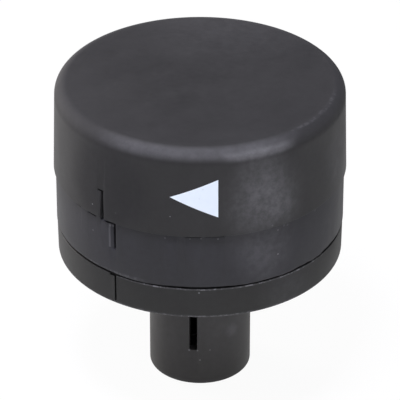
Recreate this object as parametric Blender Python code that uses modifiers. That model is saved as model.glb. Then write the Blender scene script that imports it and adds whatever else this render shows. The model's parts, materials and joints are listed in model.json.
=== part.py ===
# Battery switch: a round hand knob that turns a quarter over a fixed base ring and a hollow stem.
# Lengths are in metres. The origin is on the turning axis, in the panel plane under the base ring.
# The stem's slot faces the front. Angles run from the front, which is -Y, towards +X.

import math

import bmesh
import bpy
from mathutils import Matrix, Vector

MM = 0.001

# Clearances
SEAT_GAP = 0.1 * MM
RUN_GAP = 0.3 * MM
DRUM_GAP = 0.7 * MM

# Knob: cap and skirt
CAP_RIM_RADIUS = 29.0 * MM
CAP_DRAFT = 0.5 * MM
CAP_EDGE_ROUND = 2.45 * MM
KNOB_TOP_Z = 36.9 * MM
CAP_HEIGHT = 18.35 * MM
CAP_WALL = 2.1 * MM
CAP_ROOF = 2.6 * MM
CAP_RIB_COUNT = 8
CAP_RIB_THICKNESS = 1.6 * MM
CAP_RIB_HEIGHT = 3.6 * MM
SKIRT_STEP = 0.41 * MM
SKIRT_WALL = 2.4 * MM
SPIGOT_HEIGHT = 5.2 * MM
SPIGOT_WALL = 1.3 * MM
SPIGOT_ROOT = 2.2 * MM
SNAP_COUNT = 3
SNAP_FIRST_ANGLE = 30.0
SNAP_WIDTH = 7.4 * MM
SNAP_HEIGHT = 2.0 * MM
SNAP_REACH = 0.9 * MM

# Slits and index lines, read from the front
CAP_SLIT_ANGLE = -33.8
CAP_SLIT_HEIGHT = 6.3 * MM
CAP_SLIT_RIM_WIDTH = 0.95 * MM
CAP_SLIT_TOP_WIDTH = 0.5 * MM
CAP_NICK_LEFT = 0.85 * MM
CAP_NICK_RIGHT = 0.35 * MM
CAP_NICK_HEIGHT = 0.36 * MM
CAP_NICK_DEPTH = 0.7 * MM
INDEX_ANGLE = -27.6
SKIRT_SLIT_HEIGHT = 6.2 * MM
SKIRT_SLIT_WIDTH = 0.62 * MM
SKIRT_SLIT_DEPTH = 1.8 * MM
SLIT_FLANK_WIDTH = 1.05 * MM
SLIT_FLANK_DEPTH = 0.42 * MM
TURN_ANGLE = 90.0
INDEX_LINE_WIDTH = 0.4 * MM
INDEX_LINE_DEPTH = 0.6 * MM
INDEX_LINE_FOOT = 0.7 * MM
INDEX_NOTCH_WIDTH = 1.35 * MM
INDEX_NOTCH_HEIGHT = 0.34 * MM
INDEX_NOTCH_DEPTH = 0.5 * MM

# Base ring and panel gasket
RING_STEP = 0.09 * MM
RING_DRAFT = 0.1 * MM
RING_FOOT_CHAMFER = 0.4 * MM
RING_HEIGHT = 6.55 * MM
RING_FLOOR = 2.6 * MM
RING_WALL = 3.1 * MM
GASKET_LAND = 3.7 * MM
GASKET_WIDTH = 3.2 * MM
GASKET_THICKNESS = 1.0 * MM

# Stem
STEM_RADIUS = 10.24 * MM
STEM_LENGTH = 27.86 * MM
STEM_END_ROUND = 0.8 * MM
STEM_FLANGE_THICKNESS = 1.5 * MM
STEM_SLOT_WIDTH = 1.6 * MM
STEM_SLOT_TOP = 4.5 * MM
STEM_SLOT_LENGTH = 15.0 * MM

# Contact housing and its cover
HOUSING_FLOOR = 2.0 * MM
DRUM_WALL = 4.0 * MM
DRUM_HEIGHT = 16.2 * MM
TRACK_HEIGHT = 1.4 * MM
TRACK_WIDTH = 5.6 * MM
BOSS_WALL = 1.5 * MM
BOSS_HEIGHT = 2.0 * MM
COVER_THICKNESS = 2.4 * MM
COVER_REGISTER_WIDTH = 1.5 * MM
COVER_REGISTER_HEIGHT = 1.2 * MM
COVER_BOSS_HEIGHT = 2.0 * MM
COVER_BOSS_WALL = 2.3 * MM
STOP_RIB_HALF_ANGLE = 2.5
STOP_MARGIN_ANGLE = 0.5
STOP_OVERLAP = 1.1 * MM

# Seals
DRUM_SEAL_SECTION = 1.1 * MM
DRUM_SEAL_RISE = 3.9 * MM
SHAFT_SEAL_SECTION = 0.9 * MM

# Shaft, bushes and knob fixing
SHAFT_RADIUS = 3.5 * MM
SHAFT_BORE = 2.2 * MM
SHAFT_FOOT = 1.9 * MM
SHAFT_SHOULDER = 1.1 * MM
COLLAR_STEP = 1.0 * MM
COLLAR_HEIGHT = 1.4 * MM
ROTOR_FLAT_DEPTH = 0.7 * MM
KNOB_FLAT_DEPTH = 0.45 * MM
KNOB_FLAT_LENGTH = 3.0 * MM
BUSH_WALL = 1.0 * MM
WASHER_THICKNESS = 0.5 * MM
WASHER_WIDTH = 2.3 * MM
HUB_RADIUS = 7.5 * MM
INSERT_LENGTH = 3.6 * MM
INSERT_GROOVE_DEPTH = 0.35 * MM

# Rotor and detent leaves
ROTOR_MARGIN = 2.8 * MM
ROTOR_RIM_WIDTH = 1.8 * MM
ROTOR_RIM_HEIGHT = 6.5 * MM
ROTOR_WEB = 3.0 * MM
ROTOR_HUB_WALL = 1.9 * MM
ROTOR_HUB_HEIGHT = 8.5 * MM
ROTOR_RIM_RISE = 1.0 * MM
ROTOR_WEB_RISE = 2.5 * MM
NOTCH_COUNT = 4
NOTCH_RADIUS = 1.9 * MM
NOTCH_OFFSET = 0.8 * MM
LUG_HALF_ANGLE = 5.0
LUG_CLEARANCE = 0.5 * MM
LEAF_ANGLE = 135.0
LEAF_LENGTH = 16.0 * MM
LEAF_THICKNESS = 0.4 * MM
LEAF_STAND_OFF = 0.55 * MM
LEAF_BUMP_DEPTH = 1.0 * MM
LEAF_BUMP_FOOT = 1.9 * MM
LEAF_BUMP_TOP = 0.7 * MM
LEAF_GUIDE_THICKNESS = 1.0 * MM
LEAF_GUIDE_REACH = 1.2 * MM

# Contacts
TAB_WIDTH = 6.3 * MM
TAB_THICKNESS = 0.8 * MM
TAB_OFFSET = 5.0 * MM
TAB_END_Z = -17.0 * MM
TAB_TIP_CHAMFER = 1.0 * MM
LEG_WALL_GAP = 0.9 * MM
LEG_JOG_TOP_Z = 1.0 * MM
LEG_JOG_FOOT_Z = -2.0 * MM
BUTTON_RADIUS = 2.2 * MM
BUTTON_THICKNESS = 0.45 * MM
CONTACT_GAP = 0.15 * MM
BRIDGE_THICKNESS = 1.6 * MM
BRIDGE_ARM_WIDTH = 7.0 * MM
BRIDGE_EYE_GAP = 0.4 * MM
BRIDGE_EYE_WIDTH = 4.2 * MM
POST_RADIUS = 1.0 * MM
POST_HOLE_GAP = 0.2 * MM
SPRING_RADIUS = 1.7 * MM
SPRING_WIRE = 0.2 * MM
SPRING_TURNS = 2.5
SPRING_TURN_POINTS = 8

# Screws: shank radius, head radius, head height
HUB_SCREW = (1.95 * MM, 3.5 * MM, 2.5 * MM)
HUB_SCREW_END = 0.9 * MM
COVER_SCREW = (0.95 * MM, 2.0 * MM, 1.5 * MM)
COVER_SCREW_LENGTH = 7.5 * MM
COVER_SCREW_COUNT = 4
RING_SCREW = (1.2 * MM, 2.6 * MM, 1.5 * MM)
RING_SCREW_COUNT = 3
RING_SCREW_MARGIN = 0.8 * MM
CONTACT_SCREW = (0.75 * MM, 1.45 * MM, 0.7 * MM)
CONTACT_SCREW_LENGTH = 1.5 * MM

# Facets
SHELL_STEPS = 64
INNER_STEPS = 36
BORE_STEPS = 20
SMALL_STEPS = 12
ROUND_POINTS = 5
SEAL_POINTS = 8
CUT_MARGIN = 1.0 * MM
SINK = 0.5 * MM

# Places that follow from the sizes above, from the outside inwards
SKIRT_RADIUS = CAP_RIM_RADIUS - SKIRT_STEP
RING_RADIUS = SKIRT_RADIUS - RING_STEP
CAP_TOP_RADIUS = CAP_RIM_RADIUS - CAP_DRAFT
CAP_BORE = CAP_TOP_RADIUS - CAP_WALL
SKIRT_BORE = SKIRT_RADIUS - SKIRT_WALL
SPIGOT_RADIUS = CAP_BORE - 2.0 * SEAT_GAP
SPIGOT_BORE = SPIGOT_RADIUS - SPIGOT_WALL
DRUM_RADIUS = SPIGOT_BORE - DRUM_GAP
CHAMBER_RADIUS = DRUM_RADIUS - DRUM_WALL
ROTOR_RADIUS = CHAMBER_RADIUS - ROTOR_MARGIN
LUG_RADIUS = CHAMBER_RADIUS - LUG_CLEARANCE
STOP_RADIUS = LUG_RADIUS - STOP_OVERLAP
RING_BORE = RING_RADIUS - RING_WALL
BUSH_RADIUS = SHAFT_RADIUS + SEAT_GAP + BUSH_WALL
BUSH_SEAT = BUSH_RADIUS + SEAT_GAP
BOSS_RADIUS = BUSH_SEAT + BOSS_WALL
LEG_OFFSET = BOSS_RADIUS + LEG_WALL_GAP
STEM_BORE = math.hypot(LEG_OFFSET + 0.5 * TAB_THICKNESS, 0.5 * TAB_WIDTH) + 2.0 * SEAT_GAP
GASKET_RADIUS = RING_RADIUS - RING_DRAFT - GASKET_LAND
ROTOR_SHAFT_RADIUS = SHAFT_RADIUS + SHAFT_SHOULDER
ROTOR_HUB_RADIUS = ROTOR_SHAFT_RADIUS + ROTOR_HUB_WALL
BRIDGE_EYE_BORE = BOSS_RADIUS + BRIDGE_EYE_GAP
BRIDGE_EYE_RADIUS = BRIDGE_EYE_BORE + BRIDGE_EYE_WIDTH
BRIDGE_REACH = ROTOR_RADIUS - ROTOR_RIM_WIDTH + 2.0 * RUN_GAP
TRACK_RADIUS = BRIDGE_REACH + SEAT_GAP
TRACK_BORE = TRACK_RADIUS - TRACK_WIDTH
BUTTON_OFFSET = BRIDGE_REACH - BUTTON_RADIUS
POST_OFFSET = BRIDGE_EYE_BORE + 0.5 * BRIDGE_EYE_WIDTH
CONTACT_SCREW_OFFSET = 0.5 * (LEG_OFFSET + TRACK_BORE)
RING_SCREW_CIRCLE = STEM_RADIUS + RING_SCREW[1] + SEAT_GAP + RING_SCREW_MARGIN
STEM_FLANGE_RADIUS = RING_SCREW_CIRCLE + RING_SCREW[1] + RING_SCREW_MARGIN
COVER_SCREW_CIRCLE = CHAMBER_RADIUS + 0.5 * DRUM_WALL - RUN_GAP

# Heights that follow, from the panel upwards
SKIRT_FOOT_Z = RING_HEIGHT + RUN_GAP
CAP_RIM_Z = KNOB_TOP_Z - CAP_HEIGHT
SHOULDER_Z = CAP_RIM_Z - RUN_GAP
ROOF_Z = KNOB_TOP_Z - CAP_ROOF
FLANGE_Z = RING_FLOOR + SEAT_GAP
FLOOR_Z = FLANGE_Z + STEM_FLANGE_THICKNESS + SEAT_GAP
FLOOR_TOP_Z = FLOOR_Z + HOUSING_FLOOR
TRACK_Z = FLOOR_TOP_Z + TRACK_HEIGHT
BOSS_Z = FLOOR_TOP_Z + BOSS_HEIGHT
STRIP_Z = FLOOR_TOP_Z + SEAT_GAP
BUTTON_Z = STRIP_Z + TAB_THICKNESS + SEAT_GAP
BRIDGE_BUTTON_Z = BUTTON_Z + BUTTON_THICKNESS + CONTACT_GAP
BRIDGE_Z = BRIDGE_BUTTON_Z + BUTTON_THICKNESS + SEAT_GAP
BRIDGE_TOP_Z = BRIDGE_Z + BRIDGE_THICKNESS
WASHER_Z = BOSS_Z + SEAT_GAP
COLLAR_Z = WASHER_Z + WASHER_THICKNESS + SEAT_GAP
COLLAR_TOP_Z = COLLAR_Z + COLLAR_HEIGHT
ROTOR_Z = max(COLLAR_TOP_Z, BRIDGE_TOP_Z) + SEAT_GAP
ROTOR_RIM_Z = ROTOR_Z + ROTOR_RIM_RISE
ROTOR_WEB_Z = ROTOR_Z + ROTOR_WEB_RISE
ROTOR_TOP_Z = ROTOR_Z + ROTOR_HUB_HEIGHT
DRUM_TOP_Z = FLOOR_TOP_Z + DRUM_HEIGHT
COVER_Z = DRUM_TOP_Z + SEAT_GAP
COVER_TOP_Z = COVER_Z + COVER_THICKNESS
COVER_BOSS_Z = COVER_Z - COVER_BOSS_HEIGHT
SHAFT_SEAL_SEAT_Z = COVER_TOP_Z - 2.0 * SHAFT_SEAL_SECTION - SEAT_GAP
SHAFT_SHOULDER_Z = COVER_BOSS_Z - RUN_GAP
INSERT_TOP_Z = ROOF_Z - RUN_GAP
INSERT_Z = INSERT_TOP_Z - INSERT_LENGTH
SHAFT_TOP_Z = INSERT_Z - RUN_GAP
HUB_Z = SHAFT_TOP_Z - KNOB_FLAT_LENGTH + SEAT_GAP
SHAFT_FOOT_Z = FLOOR_Z - SHAFT_FOOT
DRUM_SEAL_Z = FLOOR_TOP_Z + DRUM_SEAL_RISE


def clear_scene():
    for thing in list(bpy.data.objects):
        bpy.data.objects.remove(thing, do_unlink=True)


def make_collection(name):
    collection = bpy.data.collections.new(name)
    bpy.context.scene.collection.children.link(collection)
    return collection


def make_material(name, colour, roughness, metallic=0.0):
    material = bpy.data.materials.new(name)
    material.use_nodes = True
    shader = material.node_tree.nodes["Principled BSDF"]
    shader.inputs["Base Color"].default_value = (*colour, 1.0)
    shader.inputs["Roughness"].default_value = roughness
    shader.inputs["Metallic"].default_value = metallic
    return material


clear_scene()
PARTS = make_collection("battery_switch")
TOOLS = make_collection("cutters")

BLACK_PLASTIC = make_material("black_plastic", (0.040, 0.039, 0.041), 0.55)
HOUSING_PLASTIC = make_material("housing_plastic", (0.075, 0.073, 0.070), 0.50)
ROTOR_PLASTIC = make_material("rotor_plastic", (0.62, 0.58, 0.50), 0.45)
RUBBER = make_material("rubber", (0.018, 0.018, 0.018), 0.80)
COPPER = make_material("tinned_copper", (0.72, 0.43, 0.29), 0.32, 1.0)
SILVER = make_material("contact_silver", (0.80, 0.79, 0.76), 0.28, 1.0)
BRASS = make_material("brass", (0.71, 0.55, 0.27), 0.35, 1.0)
BRONZE = make_material("bush_bronze", (0.55, 0.40, 0.24), 0.45, 1.0)
STEEL = make_material("stainless_steel", (0.58, 0.58, 0.57), 0.30, 1.0)


def make_empty(name):
    empty = bpy.data.objects.new(name, None)
    PARTS.objects.link(empty)
    return empty


BASE = make_empty("switch_base")
KNOB = make_empty("knob_turn")


def add_part(name, data, material, carrier, location=(0.0, 0.0, 0.0)):
    part = bpy.data.objects.new(name, data)
    part.location = location
    part.parent = carrier
    part.data.materials.append(material)
    PARTS.objects.link(part)
    return part


def add_tool(name, data):
    tool = bpy.data.objects.new(name, data)
    tool.hide_render = True
    tool.display_type = "WIRE"
    TOOLS.objects.link(tool)
    return tool


def combine(part, tool, operation):
    modifier = part.modifiers.new(tool.name, "BOOLEAN")
    modifier.operation = operation
    modifier.solver = "EXACT"
    modifier.object = tool


def cut(part, tool):
    combine(part, tool, "DIFFERENCE")


def join(part, tool):
    combine(part, tool, "UNION")


def place(angle, radius=0.0, height=0.0):
    """Frame at an angle from the front: its X runs along the rim and its Y points to the axis."""
    turn = Matrix.Rotation(math.radians(angle), 4, "Z")
    return turn @ Matrix.Translation((0.0, -radius, height))


def spaced(count, first=0.0):
    return [first + index * 360.0 / count for index in range(count)]


def arc(centre, radius, start, end, points):
    """Points of a rounded corner in the radius and height plane."""
    steps = [start + (end - start) * index / (points - 1) for index in range(points)]
    turns = [math.radians(step) for step in steps]
    return [(centre[0] + radius * math.cos(turn), centre[1] + radius * math.sin(turn)) for turn in turns]


def profile_mesh(name, profile):
    """Edges of a turned section. A section that starts on the axis stays open there."""
    mesh = bpy.data.meshes.new(name)
    points = [(radius, 0.0, height) for radius, height in profile]
    edges = [(index, index + 1) for index in range(len(points) - 1)]
    if profile[0][0] > 0.0:
        edges.append((len(points) - 1, 0))
    mesh.from_pydata(points, edges, [])
    return mesh


def turn_round(thing, steps):
    screw = thing.modifiers.new("turned", "SCREW")
    screw.axis = "Z"
    screw.angle = math.tau
    screw.steps = steps
    screw.render_steps = steps
    screw.use_merge_vertices = True
    screw.merge_threshold = 0.005 * MM
    screw.use_smooth_shade = True


def turned_part(name, profile, steps, material, carrier, location=(0.0, 0.0, 0.0)):
    part = add_part(name, profile_mesh(name, profile), material, carrier, location)
    turn_round(part, steps)
    return part


def finish_mesh(name, shape):
    mesh = bpy.data.meshes.new(name)
    bmesh.ops.recalc_face_normals(shape, faces=shape.faces)
    shape.to_mesh(mesh)
    shape.free()
    mesh.shade_smooth()
    mesh.set_sharp_from_angle(angle=math.radians(30.0))
    return mesh


def rod_shape(shape, radius, low, high, frame, steps=SMALL_STEPS):
    """Add an upright rod between two heights of a frame."""
    centre = frame @ Matrix.Translation((0.0, 0.0, 0.5 * (low + high)))
    return bmesh.ops.create_cone(
        shape,
        cap_ends=True,
        segments=steps,
        radius1=radius,
        radius2=radius,
        depth=high - low,
        matrix=centre,
    )["verts"]


def block_shape(shape, low, high, frame):
    """Add a block between two corners of a frame."""
    low = Vector(low)
    high = Vector(high)
    size = Matrix.Diagonal((*(high - low), 1.0))
    middle = Matrix.Translation(0.5 * (low + high))
    return bmesh.ops.create_cube(shape, size=1.0, matrix=frame @ middle @ size)["verts"]


def rods_tool(name, radius, low, high, frames, steps=SMALL_STEPS):
    shape = bmesh.new()
    for frame in frames:
        rod_shape(shape, radius, low, high, frame, steps)
    return add_tool(name, finish_mesh(name, shape))


def blocks_tool(name, blocks):
    shape = bmesh.new()
    for low, high, frame in blocks:
        block_shape(shape, low, high, frame)
    return add_tool(name, finish_mesh(name, shape))


def flatted_tool(name, radius, half_width, low, high):
    """A round bar with two flats across X. Its corners lie between those of a turned piece."""
    shape = bmesh.new()
    half_step = place(180.0 / INNER_STEPS)
    rod_shape(shape, radius, low, high, half_step, INNER_STEPS)
    for side in (-1.0, 1.0):
        outwards = Vector((side, 0.0, 0.0))
        geometry = shape.verts[:] + shape.edges[:] + shape.faces[:]
        bmesh.ops.bisect_plane(
            shape, geom=geometry, plane_co=half_width * outwards, plane_no=outwards, clear_outer=True
        )
        bmesh.ops.holes_fill(shape, edges=[edge for edge in shape.edges if edge.is_boundary])
    return add_tool(name, finish_mesh(name, shape))


def ring_profile(inner, outer, low, high):
    return [(outer, high), (outer, low), (inner, low), (inner, high)]


def seal_profile(radius, section, height):
    """Round section of a seal, which starts at its top and runs down its outer side."""
    return arc((radius, height), section, 90.0, 90.0 - 360.0 * (SEAL_POINTS - 1) / SEAL_POINTS, SEAL_POINTS)


def screw_profile(screw, length):
    """Section of a screw that stands head up, with the seat of its head at height 0."""
    shank, head, head_height = screw
    crown = 0.25 * head_height
    return [
        (0.0, head_height),
        (head - crown, head_height),
        (head, head_height - crown),
        (head, 0.0),
        (shank, 0.0),
        (shank, -length),
        (0.0, -length),
    ]


def screw_part(name, screw, length, carrier, spot, head_down=False):
    """A screw whose head seats at a spot, head up unless it is turned over."""
    part = turned_part(name, screw_profile(screw, length), SMALL_STEPS, STEEL, carrier, spot)
    if head_down:
        part.rotation_euler.x = math.pi


def radial_block(angle, width, inner, outer, low, high):
    half = 0.5 * width
    return ((-half, -outer, low), (half, -inner, high), place(angle))


def make_knob_cap():
    round_centre = (CAP_TOP_RADIUS - CAP_EDGE_ROUND, KNOB_TOP_Z - CAP_EDGE_ROUND)
    profile = [(0.0, KNOB_TOP_Z)]
    profile += arc(round_centre, CAP_EDGE_ROUND, 90.0, 0.0, ROUND_POINTS)
    profile += [(CAP_RIM_RADIUS, CAP_RIM_Z), (CAP_BORE, CAP_RIM_Z), (CAP_BORE, ROOF_Z)]
    profile += [(HUB_RADIUS, ROOF_Z), (HUB_RADIUS, HUB_Z)]
    insert_seat = SHAFT_RADIUS - KNOB_FLAT_DEPTH
    profile += [(insert_seat, HUB_Z), (insert_seat, INSERT_TOP_Z + SEAT_GAP), (0.0, INSERT_TOP_Z + SEAT_GAP)]
    cap = turned_part("knob_cap", profile, SHELL_STEPS, BLACK_PLASTIC, KNOB)

    rib_in = HUB_RADIUS - SINK
    rib_out = CAP_BORE + SINK
    rib_foot = ROOF_Z - CAP_RIB_HEIGHT
    ribs = [
        radial_block(angle, CAP_RIB_THICKNESS, rib_in, rib_out, rib_foot, ROOF_Z + SINK)
        for angle in spaced(CAP_RIB_COUNT)
    ]
    join(cap, blocks_tool("cap_ribs", ribs))
    socket_half = insert_seat + SEAT_GAP
    socket_top = SHAFT_TOP_Z + SEAT_GAP
    cut(cap, flatted_tool("cap_socket", SHAFT_RADIUS + SEAT_GAP, socket_half, HUB_Z - CUT_MARGIN, socket_top))

    shape = bmesh.new()
    slit_top = CAP_RIM_Z + CAP_SLIT_HEIGHT
    low = (-0.5 * CAP_SLIT_RIM_WIDTH, -CAP_RIM_RADIUS - CUT_MARGIN, CAP_RIM_Z - CUT_MARGIN)
    high = (0.5 * CAP_SLIT_RIM_WIDTH, -CAP_BORE + CUT_MARGIN, slit_top)
    for vert in block_shape(shape, low, high, Matrix.Identity(4)):
        if vert.co.z > CAP_RIM_Z:
            vert.co.x *= CAP_SLIT_TOP_WIDTH / CAP_SLIT_RIM_WIDTH
    shape.transform(place(CAP_SLIT_ANGLE))
    cut(cap, add_tool("cap_slit", finish_mesh("cap_slit", shape)))
    low = (-CAP_NICK_LEFT, -CAP_RIM_RADIUS - CUT_MARGIN, slit_top - 0.5 * CAP_NICK_HEIGHT)
    high = (CAP_NICK_RIGHT, CAP_NICK_DEPTH - CAP_RIM_RADIUS, slit_top + 0.5 * CAP_NICK_HEIGHT)
    cut(cap, blocks_tool("cap_slit_nick", [(low, high, place(CAP_SLIT_ANGLE))]))

    low = SHOULDER_Z + SPIGOT_ROOT - RUN_GAP
    high = SHOULDER_Z + SPIGOT_ROOT + SNAP_HEIGHT + RUN_GAP
    recess_width = SNAP_WIDTH + 2.0 * RUN_GAP
    recesses = [
        radial_block(angle, recess_width, CAP_BORE - CUT_MARGIN, CAP_BORE + SNAP_REACH, low, high)
        for angle in spaced(SNAP_COUNT, SNAP_FIRST_ANGLE)
    ]
    cut(cap, blocks_tool("cap_recesses", recesses))


def make_knob_skirt():
    spigot_top = SHOULDER_Z + SPIGOT_HEIGHT
    root = SHOULDER_Z - SPIGOT_ROOT
    slope = SKIRT_BORE - SPIGOT_BORE
    profile = [(SKIRT_RADIUS, SHOULDER_Z), (SKIRT_RADIUS, SKIRT_FOOT_Z), (SKIRT_BORE, SKIRT_FOOT_Z)]
    profile += [(SKIRT_BORE, root - slope), (SPIGOT_BORE, root), (SPIGOT_BORE, spigot_top)]
    profile += [(SPIGOT_RADIUS, spigot_top), (SPIGOT_RADIUS, SHOULDER_Z)]
    skirt = turned_part("knob_skirt", profile, SHELL_STEPS, BLACK_PLASTIC, KNOB)

    low = SHOULDER_Z + SPIGOT_ROOT
    lug_face = CAP_BORE + SNAP_REACH - RUN_GAP
    lugs = [
        radial_block(angle, SNAP_WIDTH, SPIGOT_RADIUS - SINK, lug_face, low, low + SNAP_HEIGHT)
        for angle in spaced(SNAP_COUNT, SNAP_FIRST_ANGLE)
    ]
    join(skirt, blocks_tool("skirt_snap_lugs", lugs))
    slit_foot = SHOULDER_Z - SKIRT_SLIT_HEIGHT
    slit_bed = SKIRT_RADIUS - SKIRT_SLIT_DEPTH
    slit_face = SKIRT_RADIUS + CUT_MARGIN
    slit_top = SHOULDER_Z + CUT_MARGIN
    slit = radial_block(INDEX_ANGLE, SKIRT_SLIT_WIDTH, slit_bed, slit_face, slit_foot, slit_top)
    cut(skirt, blocks_tool("skirt_slit", [slit]))
    cut(skirt, slit_flank_tool(slit_foot, slit_top))


def slit_flank_tool(foot, top):
    """A wedge beside the skirt's slit: it is deepest at the slit and runs out at the skirt's face."""
    shape = bmesh.new()
    far_edge = -0.5 * SKIRT_SLIT_WIDTH - SLIT_FLANK_WIDTH
    low = (far_edge, -SKIRT_RADIUS - CUT_MARGIN, foot + SEAT_GAP)
    high = (0.0, SLIT_FLANK_DEPTH - SKIRT_RADIUS, top)
    for vert in block_shape(shape, low, high, Matrix.Identity(4)):
        if vert.co.x < 0.5 * far_edge and vert.co.y > -SKIRT_RADIUS:
            vert.co.y = -math.sqrt(SKIRT_RADIUS ** 2 - far_edge ** 2)
    shape.transform(place(INDEX_ANGLE))
    return add_tool("skirt_slit_flank", finish_mesh("skirt_slit_flank", shape))


def make_hub_fixing():
    radius = SHAFT_RADIUS - KNOB_FLAT_DEPTH - SEAT_GAP
    bore = HUB_SCREW[0] + SEAT_GAP
    waist = radius - INSERT_GROOVE_DEPTH
    groove = INSERT_LENGTH / 3.0
    slope = 0.5 * INSERT_GROOVE_DEPTH
    profile = [(radius, INSERT_TOP_Z), (radius, INSERT_TOP_Z - groove)]
    profile += [(waist, INSERT_TOP_Z - groove - slope), (waist, INSERT_Z + groove + slope)]
    profile += [(radius, INSERT_Z + groove), (radius, INSERT_Z)]
    profile += [(bore, INSERT_Z), (bore, INSERT_TOP_Z)]
    turned_part("hub_insert", profile, SMALL_STEPS, BRASS, KNOB)

    washer_top = SHAFT_FOOT_Z - SEAT_GAP
    washer_foot = washer_top - WASHER_THICKNESS
    washer = ring_profile(SHAFT_BORE, HUB_SCREW[1] + SEAT_GAP, washer_foot, washer_top)
    turned_part("hub_screw_washer", washer, SMALL_STEPS, STEEL, KNOB)

    seat = washer_foot - SEAT_GAP
    length = INSERT_TOP_Z - HUB_SCREW_END - seat
    screw_part("hub_screw", HUB_SCREW, length, KNOB, Vector((0.0, 0.0, seat)), head_down=True)


def make_drive_shaft():
    collar = ROTOR_SHAFT_RADIUS + COLLAR_STEP
    profile = [(SHAFT_RADIUS, SHAFT_TOP_Z), (SHAFT_RADIUS, SHAFT_SHOULDER_Z)]
    profile += [(ROTOR_SHAFT_RADIUS, SHAFT_SHOULDER_Z), (ROTOR_SHAFT_RADIUS, COLLAR_TOP_Z)]
    profile += [(collar, COLLAR_TOP_Z), (collar, COLLAR_Z), (SHAFT_RADIUS, COLLAR_Z)]
    profile += [(SHAFT_RADIUS, SHAFT_FOOT_Z), (SHAFT_BORE, SHAFT_FOOT_Z), (SHAFT_BORE, SHAFT_TOP_Z)]
    shaft = turned_part("drive_shaft", profile, INNER_STEPS, STEEL, KNOB)

    knob_flat = SHAFT_RADIUS - KNOB_FLAT_DEPTH
    rotor_flat = ROTOR_SHAFT_RADIUS - ROTOR_FLAT_DEPTH
    reach = collar + CUT_MARGIN
    knob_low = SHAFT_TOP_Z - KNOB_FLAT_LENGTH
    rotor_low = COLLAR_TOP_Z + 0.5 * SEAT_GAP
    blocks = []
    for side in (0.0, 180.0):
        frame = place(side)
        blocks.append(((knob_flat, -reach, knob_low), (reach, reach, SHAFT_TOP_Z + CUT_MARGIN), frame))
        blocks.append(((rotor_flat, -reach, rotor_low), (reach, reach, SHAFT_SHOULDER_Z + RUN_GAP), frame))
    cut(shaft, blocks_tool("shaft_flats", blocks))

    washer_bore = SHAFT_RADIUS + SEAT_GAP
    washer_rim = SHAFT_RADIUS + WASHER_WIDTH
    washer = ring_profile(washer_bore, washer_rim, WASHER_Z, WASHER_Z + WASHER_THICKNESS)
    turned_part("thrust_washer", washer, BORE_STEPS, BRONZE, KNOB)


def make_rotor():
    rim_bore = ROTOR_RADIUS - ROTOR_RIM_WIDTH
    rim_top = ROTOR_RIM_Z + ROTOR_RIM_HEIGHT
    web_top = ROTOR_WEB_Z + ROTOR_WEB
    pilot = ROTOR_SHAFT_RADIUS - ROTOR_FLAT_DEPTH - SINK
    profile = [(ROTOR_RADIUS, rim_top), (ROTOR_RADIUS, ROTOR_RIM_Z), (rim_bore, ROTOR_RIM_Z)]
    profile += [(rim_bore, ROTOR_WEB_Z), (ROTOR_HUB_RADIUS, ROTOR_WEB_Z), (ROTOR_HUB_RADIUS, ROTOR_Z)]
    profile += [(pilot, ROTOR_Z), (pilot, ROTOR_TOP_Z), (ROTOR_HUB_RADIUS, ROTOR_TOP_Z)]
    profile += [(ROTOR_HUB_RADIUS, web_top), (rim_bore, web_top), (rim_bore, rim_top)]
    rotor = turned_part("rotor", profile, INNER_STEPS, ROTOR_PLASTIC, KNOB)

    half_flat = ROTOR_SHAFT_RADIUS - ROTOR_FLAT_DEPTH + SEAT_GAP
    bore_low = ROTOR_Z - CUT_MARGIN
    bore_high = ROTOR_TOP_Z + CUT_MARGIN
    cut(rotor, flatted_tool("rotor_bore", ROTOR_SHAFT_RADIUS + SEAT_GAP, half_flat, bore_low, bore_high))

    lug_width = 2.0 * LUG_RADIUS * math.tan(math.radians(LUG_HALF_ANGLE))
    lug_foot = ROTOR_RIM_Z + 0.5 * SEAT_GAP
    lug_top = rim_top - 0.5 * SEAT_GAP
    lugs = [
        radial_block(angle, lug_width, rim_bore + SINK, LUG_RADIUS, lug_foot, lug_top)
        for angle in lug_angles()
    ]
    join(rotor, blocks_tool("rotor_stop_lugs", lugs))
    posts = [place(angle, POST_OFFSET) for angle in (0.0, 180.0)]
    join(rotor, rods_tool("rotor_posts", POST_RADIUS, BRIDGE_Z + RUN_GAP, ROTOR_WEB_Z + SINK, posts))
    notches = [place(angle, ROTOR_RADIUS + NOTCH_OFFSET) for angle in spaced(NOTCH_COUNT, LEAF_ANGLE)]
    low = ROTOR_RIM_Z - CUT_MARGIN
    high = rim_top + CUT_MARGIN
    cut(rotor, rods_tool("rotor_notches", NOTCH_RADIUS, low, high, notches, BORE_STEPS))


def lug_angles():
    return (90.0, 270.0)


def stop_rib_angles():
    """Each lug runs from its rib at off to its rib at on, a quarter turn away."""
    reach = LUG_HALF_ANGLE + STOP_MARGIN_ANGLE + STOP_RIB_HALF_ANGLE
    angles = []
    for angle in lug_angles():
        angles += [angle + reach, angle - TURN_ANGLE - reach]
    return angles


def circle_points(radius, centre=(0.0, 0.0), steps=SMALL_STEPS):
    turns = [math.tau * index / steps for index in range(steps)]
    return [(centre[0] + radius * math.cos(turn), centre[1] + radius * math.sin(turn)) for turn in turns]


def add_spline(curve, points, cyclic=True):
    spline = curve.splines.new("POLY")
    spline.points.add(len(points) - 1)
    for target, point in zip(spline.points, points):
        target.co = (*Vector(point).to_3d(), 1.0)
    spline.use_cyclic_u = cyclic


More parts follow.
